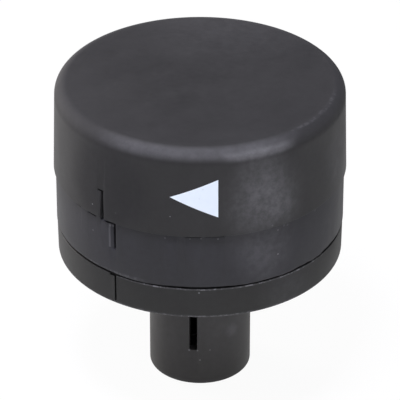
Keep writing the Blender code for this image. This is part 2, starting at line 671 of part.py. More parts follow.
def make_contact_bridge():
    half_arm = 0.5 * BRIDGE_ARM_WIDTH
    end_angle = math.degrees(math.asin(half_arm / BRIDGE_REACH))
    eye_angle = math.degrees(math.asin(half_arm / BRIDGE_EYE_RADIUS))
    outline = []
    for side in (90.0, 270.0):
        flank = side + eye_angle
        next_flank = side + 180.0 - eye_angle
        outline += arc((0.0, 0.0), BRIDGE_REACH, side - end_angle, side + end_angle, ROUND_POINTS)
        outline += arc((0.0, 0.0), BRIDGE_EYE_RADIUS, flank, next_flank, 2 * ROUND_POINTS)
    curve = bpy.data.curves.new("contact_bridge", "CURVE")
    curve.dimensions = "2D"
    curve.fill_mode = "BOTH"
    curve.extrude = 0.5 * BRIDGE_THICKNESS
    add_spline(curve, outline)
    add_spline(curve, circle_points(BRIDGE_EYE_BORE, steps=BORE_STEPS))
    for side in (-1.0, 1.0):
        add_spline(curve, circle_points(POST_RADIUS + POST_HOLE_GAP, (0.0, side * POST_OFFSET)))
    add_part("contact_bridge", curve, COPPER, KNOB, (0.0, 0.0, 0.5 * (BRIDGE_Z + BRIDGE_TOP_Z)))

    button = [(0.0, BUTTON_THICKNESS), (BUTTON_RADIUS, BUTTON_THICKNESS), (BUTTON_RADIUS, 0.0), (0.0, 0.0)]
    for end, side in (("front", -1.0), ("back", 1.0)):
        spot = (0.0, side * BUTTON_OFFSET, BRIDGE_BUTTON_Z)
        turned_part("bridge_button_" + end, button, SMALL_STEPS, SILVER, KNOB, spot)
        make_contact_spring("contact_spring_" + end, side * POST_OFFSET)


def make_contact_spring(name, offset):
    low = BRIDGE_TOP_Z + SPRING_WIRE + SEAT_GAP
    high = ROTOR_WEB_Z - SPRING_WIRE - SEAT_GAP
    count = round(SPRING_TURNS * SPRING_TURN_POINTS)
    points = []
    for index in range(count + 1):
        turn = math.tau * index / SPRING_TURN_POINTS
        height = low + (high - low) * index / count
        points.append(Vector((SPRING_RADIUS * math.cos(turn), SPRING_RADIUS * math.sin(turn), height)))
    curve = bpy.data.curves.new(name, "CURVE")
    curve.dimensions = "3D"
    curve.bevel_depth = SPRING_WIRE
    curve.bevel_resolution = 1
    curve.use_fill_caps = True
    add_spline(curve, points, cyclic=False)
    add_part(name, curve, STEEL, KNOB, (0.0, offset, 0.0))
    half_turn = SPRING_TURN_POINTS // 2
    pairs = [(first, second) for index, first in enumerate(points) for second in points[index + half_turn:]]
    gap = min((first - second).length for first, second in pairs) - 2.0 * SPRING_WIRE
    print(name, "least gap between its turns in mm:", round(gap / MM, 3))


def make_base_ring():
    gasket_bore = GASKET_RADIUS - GASKET_WIDTH
    groove_in = gasket_bore - 2.0 * SEAT_GAP
    groove_out = GASKET_RADIUS + 2.0 * SEAT_GAP
    groove_roof = GASKET_THICKNESS + 2.0 * SEAT_GAP
    stem_hole = STEM_RADIUS + 2.0 * SEAT_GAP
    foot_radius = RING_RADIUS - RING_DRAFT
    profile = [(RING_RADIUS, RING_HEIGHT), (foot_radius, RING_FOOT_CHAMFER)]
    profile += [(foot_radius - RING_FOOT_CHAMFER, 0.0), (groove_out, 0.0)]
    profile += [(groove_out, groove_roof), (groove_in, groove_roof), (groove_in, 0.0), (stem_hole, 0.0)]
    profile += [(stem_hole, RING_FLOOR), (RING_BORE, RING_FLOOR), (RING_BORE, RING_HEIGHT)]
    ring = turned_part("base_ring", profile, SHELL_STEPS, BLACK_PLASTIC, BASE)

    shank, head, head_height = RING_SCREW
    frames = ring_screw_frames()
    sink_roof = head_height + 3.0 * SEAT_GAP
    sink = head + 2.0 * SEAT_GAP
    hole = shank + 2.0 * SEAT_GAP
    cut(ring, rods_tool("ring_screw_sinks", sink, -CUT_MARGIN, sink_roof, frames))
    cut(ring, rods_tool("ring_screw_holes", hole, head_height, RING_FLOOR + CUT_MARGIN, frames))
    line_bed = RING_RADIUS - INDEX_LINE_DEPTH
    line_face = RING_RADIUS + CUT_MARGIN
    line_top = RING_HEIGHT + CUT_MARGIN
    notch_low = (-INDEX_NOTCH_WIDTH, -line_face, RING_HEIGHT - INDEX_NOTCH_HEIGHT)
    notch_high = (0.0, INDEX_NOTCH_DEPTH - RING_RADIUS, line_top)
    lines = []
    notches = []
    for angle in (INDEX_ANGLE, INDEX_ANGLE - TURN_ANGLE):
        lines.append(radial_block(angle, INDEX_LINE_WIDTH, line_bed, line_face, INDEX_LINE_FOOT, line_top))
        notches.append((notch_low, notch_high, place(angle)))
    cut(ring, blocks_tool("ring_index_lines", lines))
    cut(ring, blocks_tool("ring_index_notches", notches))

    gasket = ring_profile(gasket_bore, GASKET_RADIUS, SEAT_GAP, SEAT_GAP + GASKET_THICKNESS)
    turned_part("panel_gasket", gasket, INNER_STEPS, RUBBER, BASE)

    length = TRACK_Z - RUN_GAP - sink_roof
    for index, frame in enumerate(frames, 1):
        spot = frame @ Vector((0.0, 0.0, sink_roof - SEAT_GAP))
        screw_part("ring_screw_%d" % index, RING_SCREW, length, BASE, spot, head_down=True)


def ring_screw_frames():
    return [place(angle, RING_SCREW_CIRCLE) for angle in spaced(RING_SCREW_COUNT)]


def make_stem():
    flange_top = FLANGE_Z + STEM_FLANGE_THICKNESS
    round_centre = (STEM_RADIUS - STEM_END_ROUND, STEM_END_ROUND - STEM_LENGTH)
    profile = [(STEM_FLANGE_RADIUS, flange_top), (STEM_FLANGE_RADIUS, FLANGE_Z), (STEM_RADIUS, FLANGE_Z)]
    profile += arc(round_centre, STEM_END_ROUND, 0.0, -90.0, ROUND_POINTS)
    profile += [(STEM_BORE, -STEM_LENGTH), (STEM_BORE, flange_top)]
    stem = turned_part("stem", profile, INNER_STEPS, BLACK_PLASTIC, BASE)

    slot_foot = -STEM_SLOT_TOP - STEM_SLOT_LENGTH
    slot = radial_block(0.0, STEM_SLOT_WIDTH, 0.0, STEM_RADIUS + CUT_MARGIN, slot_foot, -STEM_SLOT_TOP)
    cut(stem, blocks_tool("stem_slot", [slot]))
    hole = RING_SCREW[0] + 2.0 * SEAT_GAP
    frames = ring_screw_frames()
    cut(stem, rods_tool("stem_screw_holes", hole, FLANGE_Z - CUT_MARGIN, flange_top + CUT_MARGIN, frames))


def make_contact_housing():
    floor_radius = RING_BORE - 2.0 * SEAT_GAP
    seal_bed = SKIRT_BORE - 2.0 * DRUM_SEAL_SECTION - 3.0 * SEAT_GAP
    seal_low = DRUM_SEAL_Z - DRUM_SEAL_SECTION - SEAT_GAP
    seal_high = DRUM_SEAL_Z + DRUM_SEAL_SECTION + SEAT_GAP
    profile = [(DRUM_RADIUS, DRUM_TOP_Z), (DRUM_RADIUS, seal_high), (seal_bed, seal_high)]
    profile += [(seal_bed, seal_low), (DRUM_RADIUS, seal_low)]
    profile += [(DRUM_RADIUS, FLOOR_TOP_Z), (floor_radius, FLOOR_TOP_Z)]
    profile += [(floor_radius, FLOOR_Z), (BUSH_SEAT, FLOOR_Z), (BUSH_SEAT, BOSS_Z), (BOSS_RADIUS, BOSS_Z)]
    profile += [(BOSS_RADIUS, FLOOR_TOP_Z), (TRACK_BORE, FLOOR_TOP_Z), (TRACK_BORE, TRACK_Z)]
    profile += [(TRACK_RADIUS, TRACK_Z), (TRACK_RADIUS, FLOOR_TOP_Z), (CHAMBER_RADIUS, FLOOR_TOP_Z)]
    profile += [(CHAMBER_RADIUS, DRUM_TOP_Z)]
    housing = turned_part("contact_housing", profile, INNER_STEPS, HOUSING_PLASTIC, BASE)

    rib_width = 2.0 * STOP_RADIUS * math.tan(math.radians(STOP_RIB_HALF_ANGLE))
    rib_top = ROTOR_RIM_Z + ROTOR_RIM_HEIGHT
    ribs = [
        radial_block(angle, rib_width, STOP_RADIUS, CHAMBER_RADIUS + SINK, FLOOR_TOP_Z - SINK, rib_top)
        for angle in stop_rib_angles()
    ]
    join(housing, blocks_tool("housing_stop_ribs", ribs))
    guides = []
    for angle in (LEAF_ANGLE, LEAF_ANGLE + 180.0):
        for side in (-1.0, 1.0):
            middle = side * (0.5 * LEAF_LENGTH + 2.0 * SEAT_GAP + 0.5 * LEAF_GUIDE_THICKNESS)
            wall = math.sqrt(CHAMBER_RADIUS ** 2 - middle ** 2)
            low = (middle - 0.5 * LEAF_GUIDE_THICKNESS, -wall - SINK, FLOOR_TOP_Z - SINK)
            high = (middle + 0.5 * LEAF_GUIDE_THICKNESS, LEAF_GUIDE_REACH - wall, rib_top)
            guides.append((low, high, place(angle)))
    join(housing, blocks_tool("housing_leaf_guides", guides))

    half_slot = 0.5 * TAB_WIDTH + 2.0 * SEAT_GAP
    slot_in = LEG_OFFSET - 0.5 * TAB_THICKNESS - RUN_GAP
    slot_out = LEG_OFFSET + 0.5 * TAB_THICKNESS + RUN_GAP
    pocket_in = math.sqrt(TRACK_BORE ** 2 - half_slot ** 2) - SEAT_GAP
    pocket_out = TRACK_RADIUS + SINK
    pocket_floor = FLOOR_TOP_Z - SEAT_GAP
    blocks = []
    for side in (90.0, 270.0):
        frame = place(side)
        slot_low = (-half_slot, -slot_out, FLOOR_Z - CUT_MARGIN)
        blocks.append((slot_low, (half_slot, -slot_in, FLOOR_TOP_Z + SEAT_GAP), frame))
        pocket_low = (-half_slot, -pocket_out, pocket_floor)
        blocks.append((pocket_low, (half_slot, -pocket_in, TRACK_Z + CUT_MARGIN), frame))
    cut(housing, blocks_tool("housing_contact_slots", blocks))

    shank = CONTACT_SCREW[0] + SEAT_GAP
    low = STRIP_Z - CONTACT_SCREW_LENGTH
    high = FLOOR_TOP_Z + CUT_MARGIN
    cut(housing, rods_tool("housing_contact_holes", shank, low, high, contact_screw_frames()))
    shank = COVER_SCREW[0] + SEAT_GAP
    low = DRUM_TOP_Z - COVER_SCREW_LENGTH
    cut(housing, rods_tool("housing_cover_holes", shank, low, DRUM_TOP_Z + CUT_MARGIN, cover_screw_frames()))
    shank = RING_SCREW[0] + SEAT_GAP
    high = TRACK_Z - SEAT_GAP
    cut(housing, rods_tool("housing_ring_holes", shank, FLOOR_Z - CUT_MARGIN, high, ring_screw_frames()))


def contact_screw_frames():
    return [place(side, CONTACT_SCREW_OFFSET) for side in (90.0, 270.0)]


def cover_screw_frames():
    return [place(angle, COVER_SCREW_CIRCLE) for angle in spaced(COVER_SCREW_COUNT)]


def make_drum_cover():
    register = CHAMBER_RADIUS - 2.0 * SEAT_GAP
    register_bore = register - COVER_REGISTER_WIDTH
    register_z = COVER_Z - COVER_REGISTER_HEIGHT
    boss = BUSH_SEAT + COVER_BOSS_WALL
    seal_seat = SHAFT_RADIUS + 2.0 * SHAFT_SEAL_SECTION + 4.0 * SEAT_GAP
    profile = [(DRUM_RADIUS, COVER_TOP_Z), (DRUM_RADIUS, COVER_Z), (register, COVER_Z)]
    profile += [(register, register_z), (register_bore, register_z), (register_bore, COVER_Z)]
    profile += [(boss, COVER_Z), (boss, COVER_BOSS_Z)]
    profile += [(BUSH_SEAT, COVER_BOSS_Z), (BUSH_SEAT, SHAFT_SEAL_SEAT_Z), (seal_seat, SHAFT_SEAL_SEAT_Z)]
    profile += [(seal_seat, COVER_TOP_Z)]
    cover = turned_part("drum_cover", profile, INNER_STEPS, HOUSING_PLASTIC, BASE)
    hole = COVER_SCREW[0] + 3.0 * SEAT_GAP
    frames = cover_screw_frames()
    cut(cover, rods_tool("cover_screw_holes", hole, COVER_Z - CUT_MARGIN, COVER_TOP_Z + CUT_MARGIN, frames))
    length = COVER_THICKNESS + COVER_SCREW_LENGTH - RUN_GAP
    for index, frame in enumerate(frames, 1):
        spot = frame @ Vector((0.0, 0.0, COVER_TOP_Z + SEAT_GAP))
        screw_part("cover_screw_%d" % index, COVER_SCREW, length, BASE, spot)


def make_bushes_and_seals():
    bore = SHAFT_RADIUS + SEAT_GAP
    lower = ring_profile(bore, BUSH_RADIUS, FLOOR_Z, BOSS_Z)
    upper = ring_profile(bore, BUSH_RADIUS, COVER_BOSS_Z, SHAFT_SEAL_SEAT_Z - SEAT_GAP)
    turned_part("lower_bush", lower, BORE_STEPS, BRONZE, BASE)
    turned_part("cover_bush", upper, BORE_STEPS, BRONZE, BASE)
    seal_radius = SHAFT_RADIUS + SHAFT_SEAL_SECTION + 2.0 * SEAT_GAP
    seal_z = SHAFT_SEAL_SEAT_Z + SHAFT_SEAL_SECTION + 0.5 * SEAT_GAP
    shaft_profile = seal_profile(seal_radius, SHAFT_SEAL_SECTION, seal_z)
    turned_part("shaft_seal", shaft_profile, BORE_STEPS, RUBBER, BASE)
    drum_seal_radius = SKIRT_BORE - DRUM_SEAL_SECTION - SEAT_GAP
    drum_profile = seal_profile(drum_seal_radius, DRUM_SEAL_SECTION, DRUM_SEAL_Z)
    turned_part("drum_seal", drum_profile, INNER_STEPS, RUBBER, BASE)


def bent_strip(name, path, width, thickness, frame, material, carrier, tip_chamfer=0.0):
    """A strip bent along a path of its middle, which runs in the frame's X and Z to its tip."""
    shape = bmesh.new()
    verts = [shape.verts.new((x, -0.5 * width, z)) for x, z in path]
    edges = [shape.edges.new(pair) for pair in zip(verts, verts[1:])]
    wide = bmesh.ops.extrude_edge_only(shape, edges=edges)["geom"]
    moved = [item for item in wide if isinstance(item, bmesh.types.BMVert)]
    bmesh.ops.translate(shape, verts=moved, vec=(0.0, width, 0.0))
    tip = Vector((path[-1][0], 0.0, path[-1][1]))
    for vert in shape.verts:
        if abs(vert.co.x - tip.x) + abs(vert.co.z - tip.z) < SEAT_GAP:
            vert.co.y -= math.copysign(tip_chamfer, vert.co.y)
    shape.transform(frame)
    strip = add_part(name, finish_mesh(name, shape), material, carrier)
    solid = strip.modifiers.new("gauge", "SOLIDIFY")
    solid.thickness = thickness
    solid.offset = 0.0
    solid.use_even_offset = True
    return strip


def make_fixed_contacts():
    middle = STRIP_Z + 0.5 * TAB_THICKNESS
    path = [(BRIDGE_REACH, middle), (LEG_OFFSET, middle), (LEG_OFFSET, LEG_JOG_TOP_Z)]
    path += [(TAB_OFFSET, LEG_JOG_FOOT_Z), (TAB_OFFSET, TAB_END_Z + TAB_TIP_CHAMFER), (TAB_OFFSET, TAB_END_Z)]
    button = [(0.0, BUTTON_THICKNESS), (BUTTON_RADIUS, BUTTON_THICKNESS), (BUTTON_RADIUS, 0.0), (0.0, 0.0)]
    hole = CONTACT_SCREW[0] + SEAT_GAP
    sides = zip(("right", "left"), (0.0, 180.0), contact_screw_frames())
    for side, turn, screw_frame in sides:
        frame = place(turn)
        name = "fixed_contact_" + side
        strip = bent_strip(name, path, TAB_WIDTH, TAB_THICKNESS, frame, COPPER, BASE, TAB_TIP_CHAMFER)
        strip_low = STRIP_Z - CUT_MARGIN
        strip_high = STRIP_Z + TAB_THICKNESS + CUT_MARGIN
        cut(strip, rods_tool("contact_hole_" + side, hole, strip_low, strip_high, [screw_frame]))
        spot = frame @ Vector((BUTTON_OFFSET, 0.0, BUTTON_Z))
        turned_part("fixed_button_" + side, button, SMALL_STEPS, SILVER, BASE, spot)
        spot = screw_frame @ Vector((0.0, 0.0, STRIP_Z + TAB_THICKNESS + SEAT_GAP))
        screw_part("contact_screw_" + side, CONTACT_SCREW, CONTACT_SCREW_LENGTH + TAB_THICKNESS, BASE, spot)


def make_detent_leaves():
    straight = ROTOR_RADIUS + LEAF_STAND_OFF
    bump = straight - LEAF_BUMP_DEPTH
    half = 0.5 * LEAF_LENGTH
    low = FLOOR_TOP_Z + SEAT_GAP
    height = ROTOR_RIM_Z + ROTOR_RIM_HEIGHT - low
    outline = [(-half, straight), (-LEAF_BUMP_FOOT, straight), (-LEAF_BUMP_TOP, bump)]
    outline += [(-along, out) for along, out in reversed(outline)]
    on_edge = Matrix.Rotation(math.radians(90.0), 4, "X")
    lay_flat = Matrix.Translation((0.0, 0.0, low + 0.5 * height)) @ on_edge
    for side, angle in (("right", LEAF_ANGLE), ("left", LEAF_ANGLE + 180.0)):
        frame = place(angle) @ lay_flat
        path = [(along, -out) for along, out in outline]
        bent_strip("detent_leaf_" + side, path, height, LEAF_THICKNESS, frame, STEEL, BASE)


make_base_ring()
make_stem()
make_contact_housing()
make_drum_cover()
make_bushes_and_seals()
make_fixed_contacts()
make_detent_leaves()
make_drive_shaft()
make_rotor()
make_contact_bridge()
make_knob_cap()
make_knob_skirt()
make_hub_fixing()
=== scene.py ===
import json
import math

import bmesh
import bpy
from mathutils import Matrix, Vector


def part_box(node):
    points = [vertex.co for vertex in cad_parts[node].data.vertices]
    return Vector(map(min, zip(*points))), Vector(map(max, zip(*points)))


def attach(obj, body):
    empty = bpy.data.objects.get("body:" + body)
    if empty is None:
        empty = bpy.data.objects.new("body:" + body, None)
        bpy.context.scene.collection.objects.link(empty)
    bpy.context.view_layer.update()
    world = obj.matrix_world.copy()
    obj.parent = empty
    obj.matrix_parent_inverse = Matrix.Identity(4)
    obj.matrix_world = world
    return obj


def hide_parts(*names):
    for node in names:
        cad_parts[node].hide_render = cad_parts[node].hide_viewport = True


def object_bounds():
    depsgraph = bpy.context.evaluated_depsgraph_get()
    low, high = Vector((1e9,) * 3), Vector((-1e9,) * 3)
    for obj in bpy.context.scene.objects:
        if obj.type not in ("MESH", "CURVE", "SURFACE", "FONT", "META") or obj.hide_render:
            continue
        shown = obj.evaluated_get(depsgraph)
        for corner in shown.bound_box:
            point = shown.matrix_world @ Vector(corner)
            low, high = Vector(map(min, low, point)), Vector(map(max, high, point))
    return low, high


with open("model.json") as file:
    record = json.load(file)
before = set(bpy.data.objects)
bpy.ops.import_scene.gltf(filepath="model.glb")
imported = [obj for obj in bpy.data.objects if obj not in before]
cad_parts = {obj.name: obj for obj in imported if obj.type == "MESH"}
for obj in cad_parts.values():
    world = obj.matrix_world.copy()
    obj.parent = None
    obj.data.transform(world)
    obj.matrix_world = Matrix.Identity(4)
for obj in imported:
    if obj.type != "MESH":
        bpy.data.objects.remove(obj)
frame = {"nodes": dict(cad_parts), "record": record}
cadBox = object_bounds()
mm = 0.001
past = 1.0 * mm  # how far a cutting tool runs past what it cuts
sink = 0.5 * mm  # how far an added block goes into what carries it
weld = 0.00002 * mm  # points closer than this become one
touch = 0.01 * mm  # spots closer than this count as the same
creaseAngle = math.radians(38.0)
record = frame["record"]
slotOf = {entry["node"]: entry["material_slot"] for entry in record["subparts"]}
bodyOf = {node: body for body, nodes in record["behaviour"]["bodies"].items() for node in nodes}
print("frame loaded:", len(frame["nodes"]), "nodes")


# Modelling helpers. Angles run from the front, which is -Y, towards +X.

def inMm(*sizes):
    return [size * mm for size in sizes]


def lengths(**sizes):
    # sizes of a piece, given in mm
    return {name: size * mm for name, size in sizes.items()}


def place(angle, radius=0.0, height=0.0):
    # X runs along the rim there, and Y points to the axis
    return Matrix.Rotation(math.radians(angle), 4, "Z") @ Matrix.Translation((0.0, -radius, height))


def quarterTurn(axis):
    return Matrix.Rotation(0.5 * math.pi, 4, axis)


upright = Matrix.Identity(4)


def spaced(count, first=0.0):
    return [first + index * 360.0 / count for index in range(count)]


def fillet(before, corner, after, size, points):
    inward = (before - corner).normalized()
    onward = (after - corner).normalized()
    half = 0.5 * inward.angle(onward)
    centre = corner + (inward + onward).normalized() * (size / math.sin(half))
    start = corner + inward * (size / math.tan(half)) - centre
    sweep = math.copysign(math.pi - 2.0 * half, inward.x * onward.y - inward.y * onward.x)
    turns = [-sweep * step / (points - 1) for step in range(points)]
    return [centre + Matrix.Rotation(turn, 2) @ start for turn in turns]


def outline(corners, closed=True, points=6):
    # corners are (radius, height) or (radius, height, round), with so many points on a round
    spots = [Vector(corner[:2]) for corner in corners]
    line = []
    for index, corner in enumerate(corners):
        size = corner[2] if len(corner) > 2 else 0.0
        if size == 0.0:
            line.append(spots[index])
            continue
        after = spots[(index + 1) % len(spots)]
        line += fillet(spots[index - 1], spots[index], after, size, points)
    return line, closed


def newPiece(name, shape, crease=creaseAngle):
    bmesh.ops.remove_doubles(shape, verts=shape.verts, dist=weld)
    bmesh.ops.dissolve_degenerate(shape, edges=shape.edges, dist=weld)
    bmesh.ops.recalc_face_normals(shape, faces=shape.faces)
    mesh = bpy.data.meshes.new(name)
    shape.to_mesh(mesh)
    shape.free()
    mesh.shade_smooth()
    mesh.set_sharp_from_angle(angle=crease)
    piece = bpy.data.objects.new(name, mesh)
    bpy.context.scene.collection.objects.link(piece)
    return piece


def turned(shape, section, steps, centre=(0.0, 0.0, 0.0)):
    # the section is spun about the axis, then moved to its centre
    line, closed = section
    verts = [shape.verts.new((spot.x, 0.0, spot.y)) for spot in line]
    edges = [shape.edges.new(pair) for pair in zip(verts, verts[1:])]
    if closed:
        edges.append(shape.edges.new((verts[-1], verts[0])))
    turn = {"axis": (0.0, 0.0, 1.0), "cent": (0.0, 0.0, 0.0), "angle": math.tau}
    bmesh.ops.spin(shape, geom=verts + edges, steps=steps, use_merge=True, **turn)
    bmesh.ops.translate(shape, verts=shape.verts, vec=centre)
    return shape


def lathe(name, corners, steps, closed=True, points=6, centre=(0.0, 0.0, 0.0)):
    return newPiece(name, turned(bmesh.new(), outline(corners, closed, points), steps, centre))


def block(shape, low, high, spot):
    low = Vector(low)
    high = Vector(high)
    size = Matrix.Diagonal((*(high - low), 1.0))
    middle = Matrix.Translation(0.5 * (low + high))
    return bmesh.ops.create_cube(shape, size=1.0, matrix=spot @ middle @ size)["verts"]


def rod(shape, radius, low, high, spot, steps):
    middle = spot @ Matrix.Translation((0.0, 0.0, 0.5 * (low + high)))
    ends = {"radius1": radius, "radius2": radius, "cap_ends": True}
    bmesh.ops.create_cone(shape, segments=steps, depth=high - low, matrix=middle, **ends)


def arcBlock(angles, radii, heights, cuts=16):
    # a block bent round the axis, with its sizes as (low, high) pairs and its angles in degrees
    shape = bmesh.new()
    ends = list(zip(angles, radii, heights))
    block(shape, ends[0], ends[1], upright)
    along = [edge for edge in shape.edges if edge.verts[0].co.x != edge.verts[1].co.x]
    bmesh.ops.subdivide_edges(shape, edges=along, cuts=cuts, use_grid_fill=True)
    for vert in shape.verts:
        vert.co = place(vert.co.x, vert.co.y, vert.co.z).translation
    return shape


def settle(piece):
    # the modifiers become part of the mesh, so nothing is left live
    seen = piece.evaluated_get(bpy.context.evaluated_depsgraph_get())
    mesh = bpy.data.meshes.new_from_object(seen)
    spare = piece.data
    piece.modifiers.clear()
    piece.data = mesh
    mesh.name = piece.name
    bpy.data.meshes.remove(spare)


def carve(piece, *tools, operation="DIFFERENCE"):
    for tool in tools:
        change = piece.modifiers.new("carve", "BOOLEAN")
        change.operation = operation
        change.solver = "EXACT"
        change.object = tool
    settle(piece)
    for tool in tools:
        bpy.data.objects.remove(tool)


def softenEdges(piece, width, segments=2):
    change = piece.modifiers.new("soft", "BEVEL")
    change.width = width
    change.segments = segments
    change.limit_method = "ANGLE"
    change.angle_limit = creaseAngle
    change.use_clamp_overlap = True
    settle(piece)
    piece.data.shade_smooth()
    piece.data.set_sharp_from_angle(angle=creaseAngle)


def bentStrip(name, corners, width, gauge, tip=0.0):
    # corners run along the middle of the strip in X and Z, to an end that is narrower by the tip on each side
    line = outline(corners, False, 7)[0]
    shape = bmesh.new()
    verts = [shape.verts.new((spot.x, -0.5 * width, spot.y)) for spot in line]
    edges = [shape.edges.new(pair) for pair in zip(verts, verts[1:])]
    wide = bmesh.ops.extrude_edge_only(shape, edges=edges)["geom"]
    far = [item for item in wide if isinstance(item, bmesh.types.BMVert)]
    bmesh.ops.translate(shape, verts=far, vec=(0.0, width, 0.0))
    for vert in shape.verts:
        if (vert.co.xz - line[-1]).length < touch:
            vert.co.y -= math.copysign(tip, vert.co.y)
    strip = newPiece(name, shape)
    change = strip.modifiers.new("gauge", "SOLIDIFY")
    change.thickness = gauge
    change.offset = 0.0
    change.use_even_offset = True
    settle(strip)
    return strip


def flatted(name, radius, halfFlat, low, high, steps=90):
    # a round bar with two flats across X
    shape = bmesh.new()
    rod(shape, radius, low, high, upright, steps)
    for side in (-1.0, 1.0):
        outward = Vector((side, 0.0, 0.0))
        every = shape.verts[:] + shape.edges[:] + shape.faces[:]
        cut = {"plane_co": halfFlat * outward, "plane_no": outward, "clear_outer": True}
        bmesh.ops.bisect_plane(shape, geom=every, **cut)
        bmesh.ops.holes_fill(shape, edges=[edge for edge in shape.edges if edge.is_boundary])
    return newPiece(name, shape)


def rods(name, radius, low, high, spots, steps=48):
    shape = bmesh.new()
    for spot in spots:
        rod(shape, radius, low, high, spot, steps)
    return newPiece(name, shape)


def blocks(name, ends):
    shape = bmesh.new()
    for low, high, spot in ends:
        block(shape, low, high, spot)
    return newPiece(name, shape)


def blocksAt(name, low, high, angles):
    return blocks(name, [(low, high, place(angle)) for angle in angles])


def middleOf(node):
    low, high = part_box(node)
    return 0.5 * (low + high)


def spotsOf(*nodes):
    middles = [middleOf(node) for node in nodes]
    return [Matrix.Translation((middle.x, middle.y, 0.0)) for middle in middles]


def pieceName(node):
    # a piece can't share a node's name, so the one-word nodes get a second word
    first, *rest = {"stem": "stem_tube", "rotor": "rotor_wheel"}.get(node, node).split("_")
    return first + "".join(word.capitalize() for word in rest)


def fit(piece, node):
    piece.name = pieceName(node)
    piece.data.name = piece.name
    piece.data.materials.clear()
    piece.data.materials.append(finishes[slotOf[node]])
    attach(piece, bodyOf[node])
    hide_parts(node)


def softFit(piece, node, width, segments=2):
    softenEdges(piece, width, segments)
    fit(piece, node)


# Shader helpers

class Wire:
    # a socket that can stand in sums
    def __init__(self, bench, socket):
        self.bench = bench
        self.socket = socket

    def reckon(self, operation, first, second):
        return self.bench.node("ShaderNodeMath", {"operation": operation}, {0: first, 1: second})

    def __add__(self, other):
        return self.reckon("ADD", self, other)

    def __radd__(self, other):
        return self.reckon("ADD", other, self)

    def __sub__(self, other):
        return self.reckon("SUBTRACT", self, other)

    def __rsub__(self, other):
        return self.reckon("SUBTRACT", other, self)

    def __mul__(self, other):
        return self.reckon("MULTIPLY", self, other)

    def __rmul__(self, other):
        return self.reckon("MULTIPLY", other, self)

    def __pow__(self, other):
        return self.reckon("POWER", self, other)

    def __lt__(self, other):
        return self.reckon("LESS_THAN", self, other)

    def __gt__(self, other):
        return self.reckon("GREATER_THAN", self, other)


class Bench:
    # one material, or the world, and the nodes of its finish
    def __init__(self, owner, shader="Principled BSDF", where="Object"):
        owner.use_nodes = True
        self.owner = owner
        self.tree = owner.node_tree
        self.shader = self.tree.nodes[shader]
        self.where = self.node("ShaderNodeTexCoord", out=where)

    def node(self, kind, settings=None, sockets=None, out=0):
        made = self.tree.nodes.new(kind)
        for key, value in (settings or {}).items():
            setattr(made, key, value)
        for key, value in (sockets or {}).items():
            self.plug(made.inputs[key], value)
        return Wire(self, made.outputs[out])

    def plug(self, target, value):
        if isinstance(value, Wire):
            self.tree.links.new(value.socket, target)
        else:
            target.default_value = value

    def set(self, **values):
        for name, value in values.items():
            words = {"baseColor": "Base Color", "specular": "Specular IOR Level"}
            self.plug(self.shader.inputs[words.get(name, name.capitalize())], value)

    def stretch(self, scale):
        return self.node("ShaderNodeMapping", None, {"Vector": self.where, "Scale": scale})

    def flat(self):
        return self.stretch((1.0, 1.0, 0.0))

    def noise(self, scale, detail, roughness, where=None):
        sockets = {"Vector": where or self.where, "Scale": scale, "Detail": detail, "Roughness": roughness}
        return self.node("ShaderNodeTexNoise", None, sockets)

    def between(self, value, low, high, start=0.0, end=1.0):
        limits = {"Value": value, "From Min": low, "From Max": high, "To Min": start, "To Max": end}
        return self.node("ShaderNodeMapRange", {"interpolation_type": "SMOOTHSTEP"}, limits)

    def near(self, distance, reach, core):
        # one within the core's share of the reach, falling to nothing at the reach
        return self.between(distance, reach, core * reach)

    def blend(self, first, second, share):
        sockets = {0: share, 6: first, 7: second}
        return self.node("ShaderNodeMix", {"data_type": "RGBA"}, sockets, out=2)

    def distance(self, spot, where=None):
        ends = {0: where or self.where, 1: spot}
        return self.node("ShaderNodeVectorMath", {"operation": "DISTANCE"}, ends, out=1)

    def part(self, axis):
        return self.node("ShaderNodeSeparateXYZ", None, {0: self.where}, out=axis)

    def fromAxis(self):
        return self.node("ShaderNodeVectorMath", {"operation": "LENGTH"}, {0: self.flat()}, out=1)

    def fromCircle(self, radius, height):
        out = self.fromAxis() - radius
        up = self.part("Z") - height
        return (out * out + up * up) ** 0.5

    def specks(self, scale, size, share):
        # sparse dots, on a share of the cells
        cell = {"feature": "F1"}
        dots = self.node("ShaderNodeTexVoronoi", cell, {"Vector": self.where, "Scale": scale})
        tint = self.node("ShaderNodeTexVoronoi", cell, {"Vector": self.where, "Scale": scale}, out=1)
        pick = self.node("ShaderNodeSeparateColor", None, {0: tint})
        return (dots < size * scale) * (pick < share)

    def bump(self, height, distance, strength):
        sockets = {"Height": height, "Distance": distance, "Strength": strength}
        self.plug(self.shader.inputs["Normal"], self.node("ShaderNodeBump", None, sockets))


def newFinish(name):
    return Bench(bpy.data.materials.new(name))
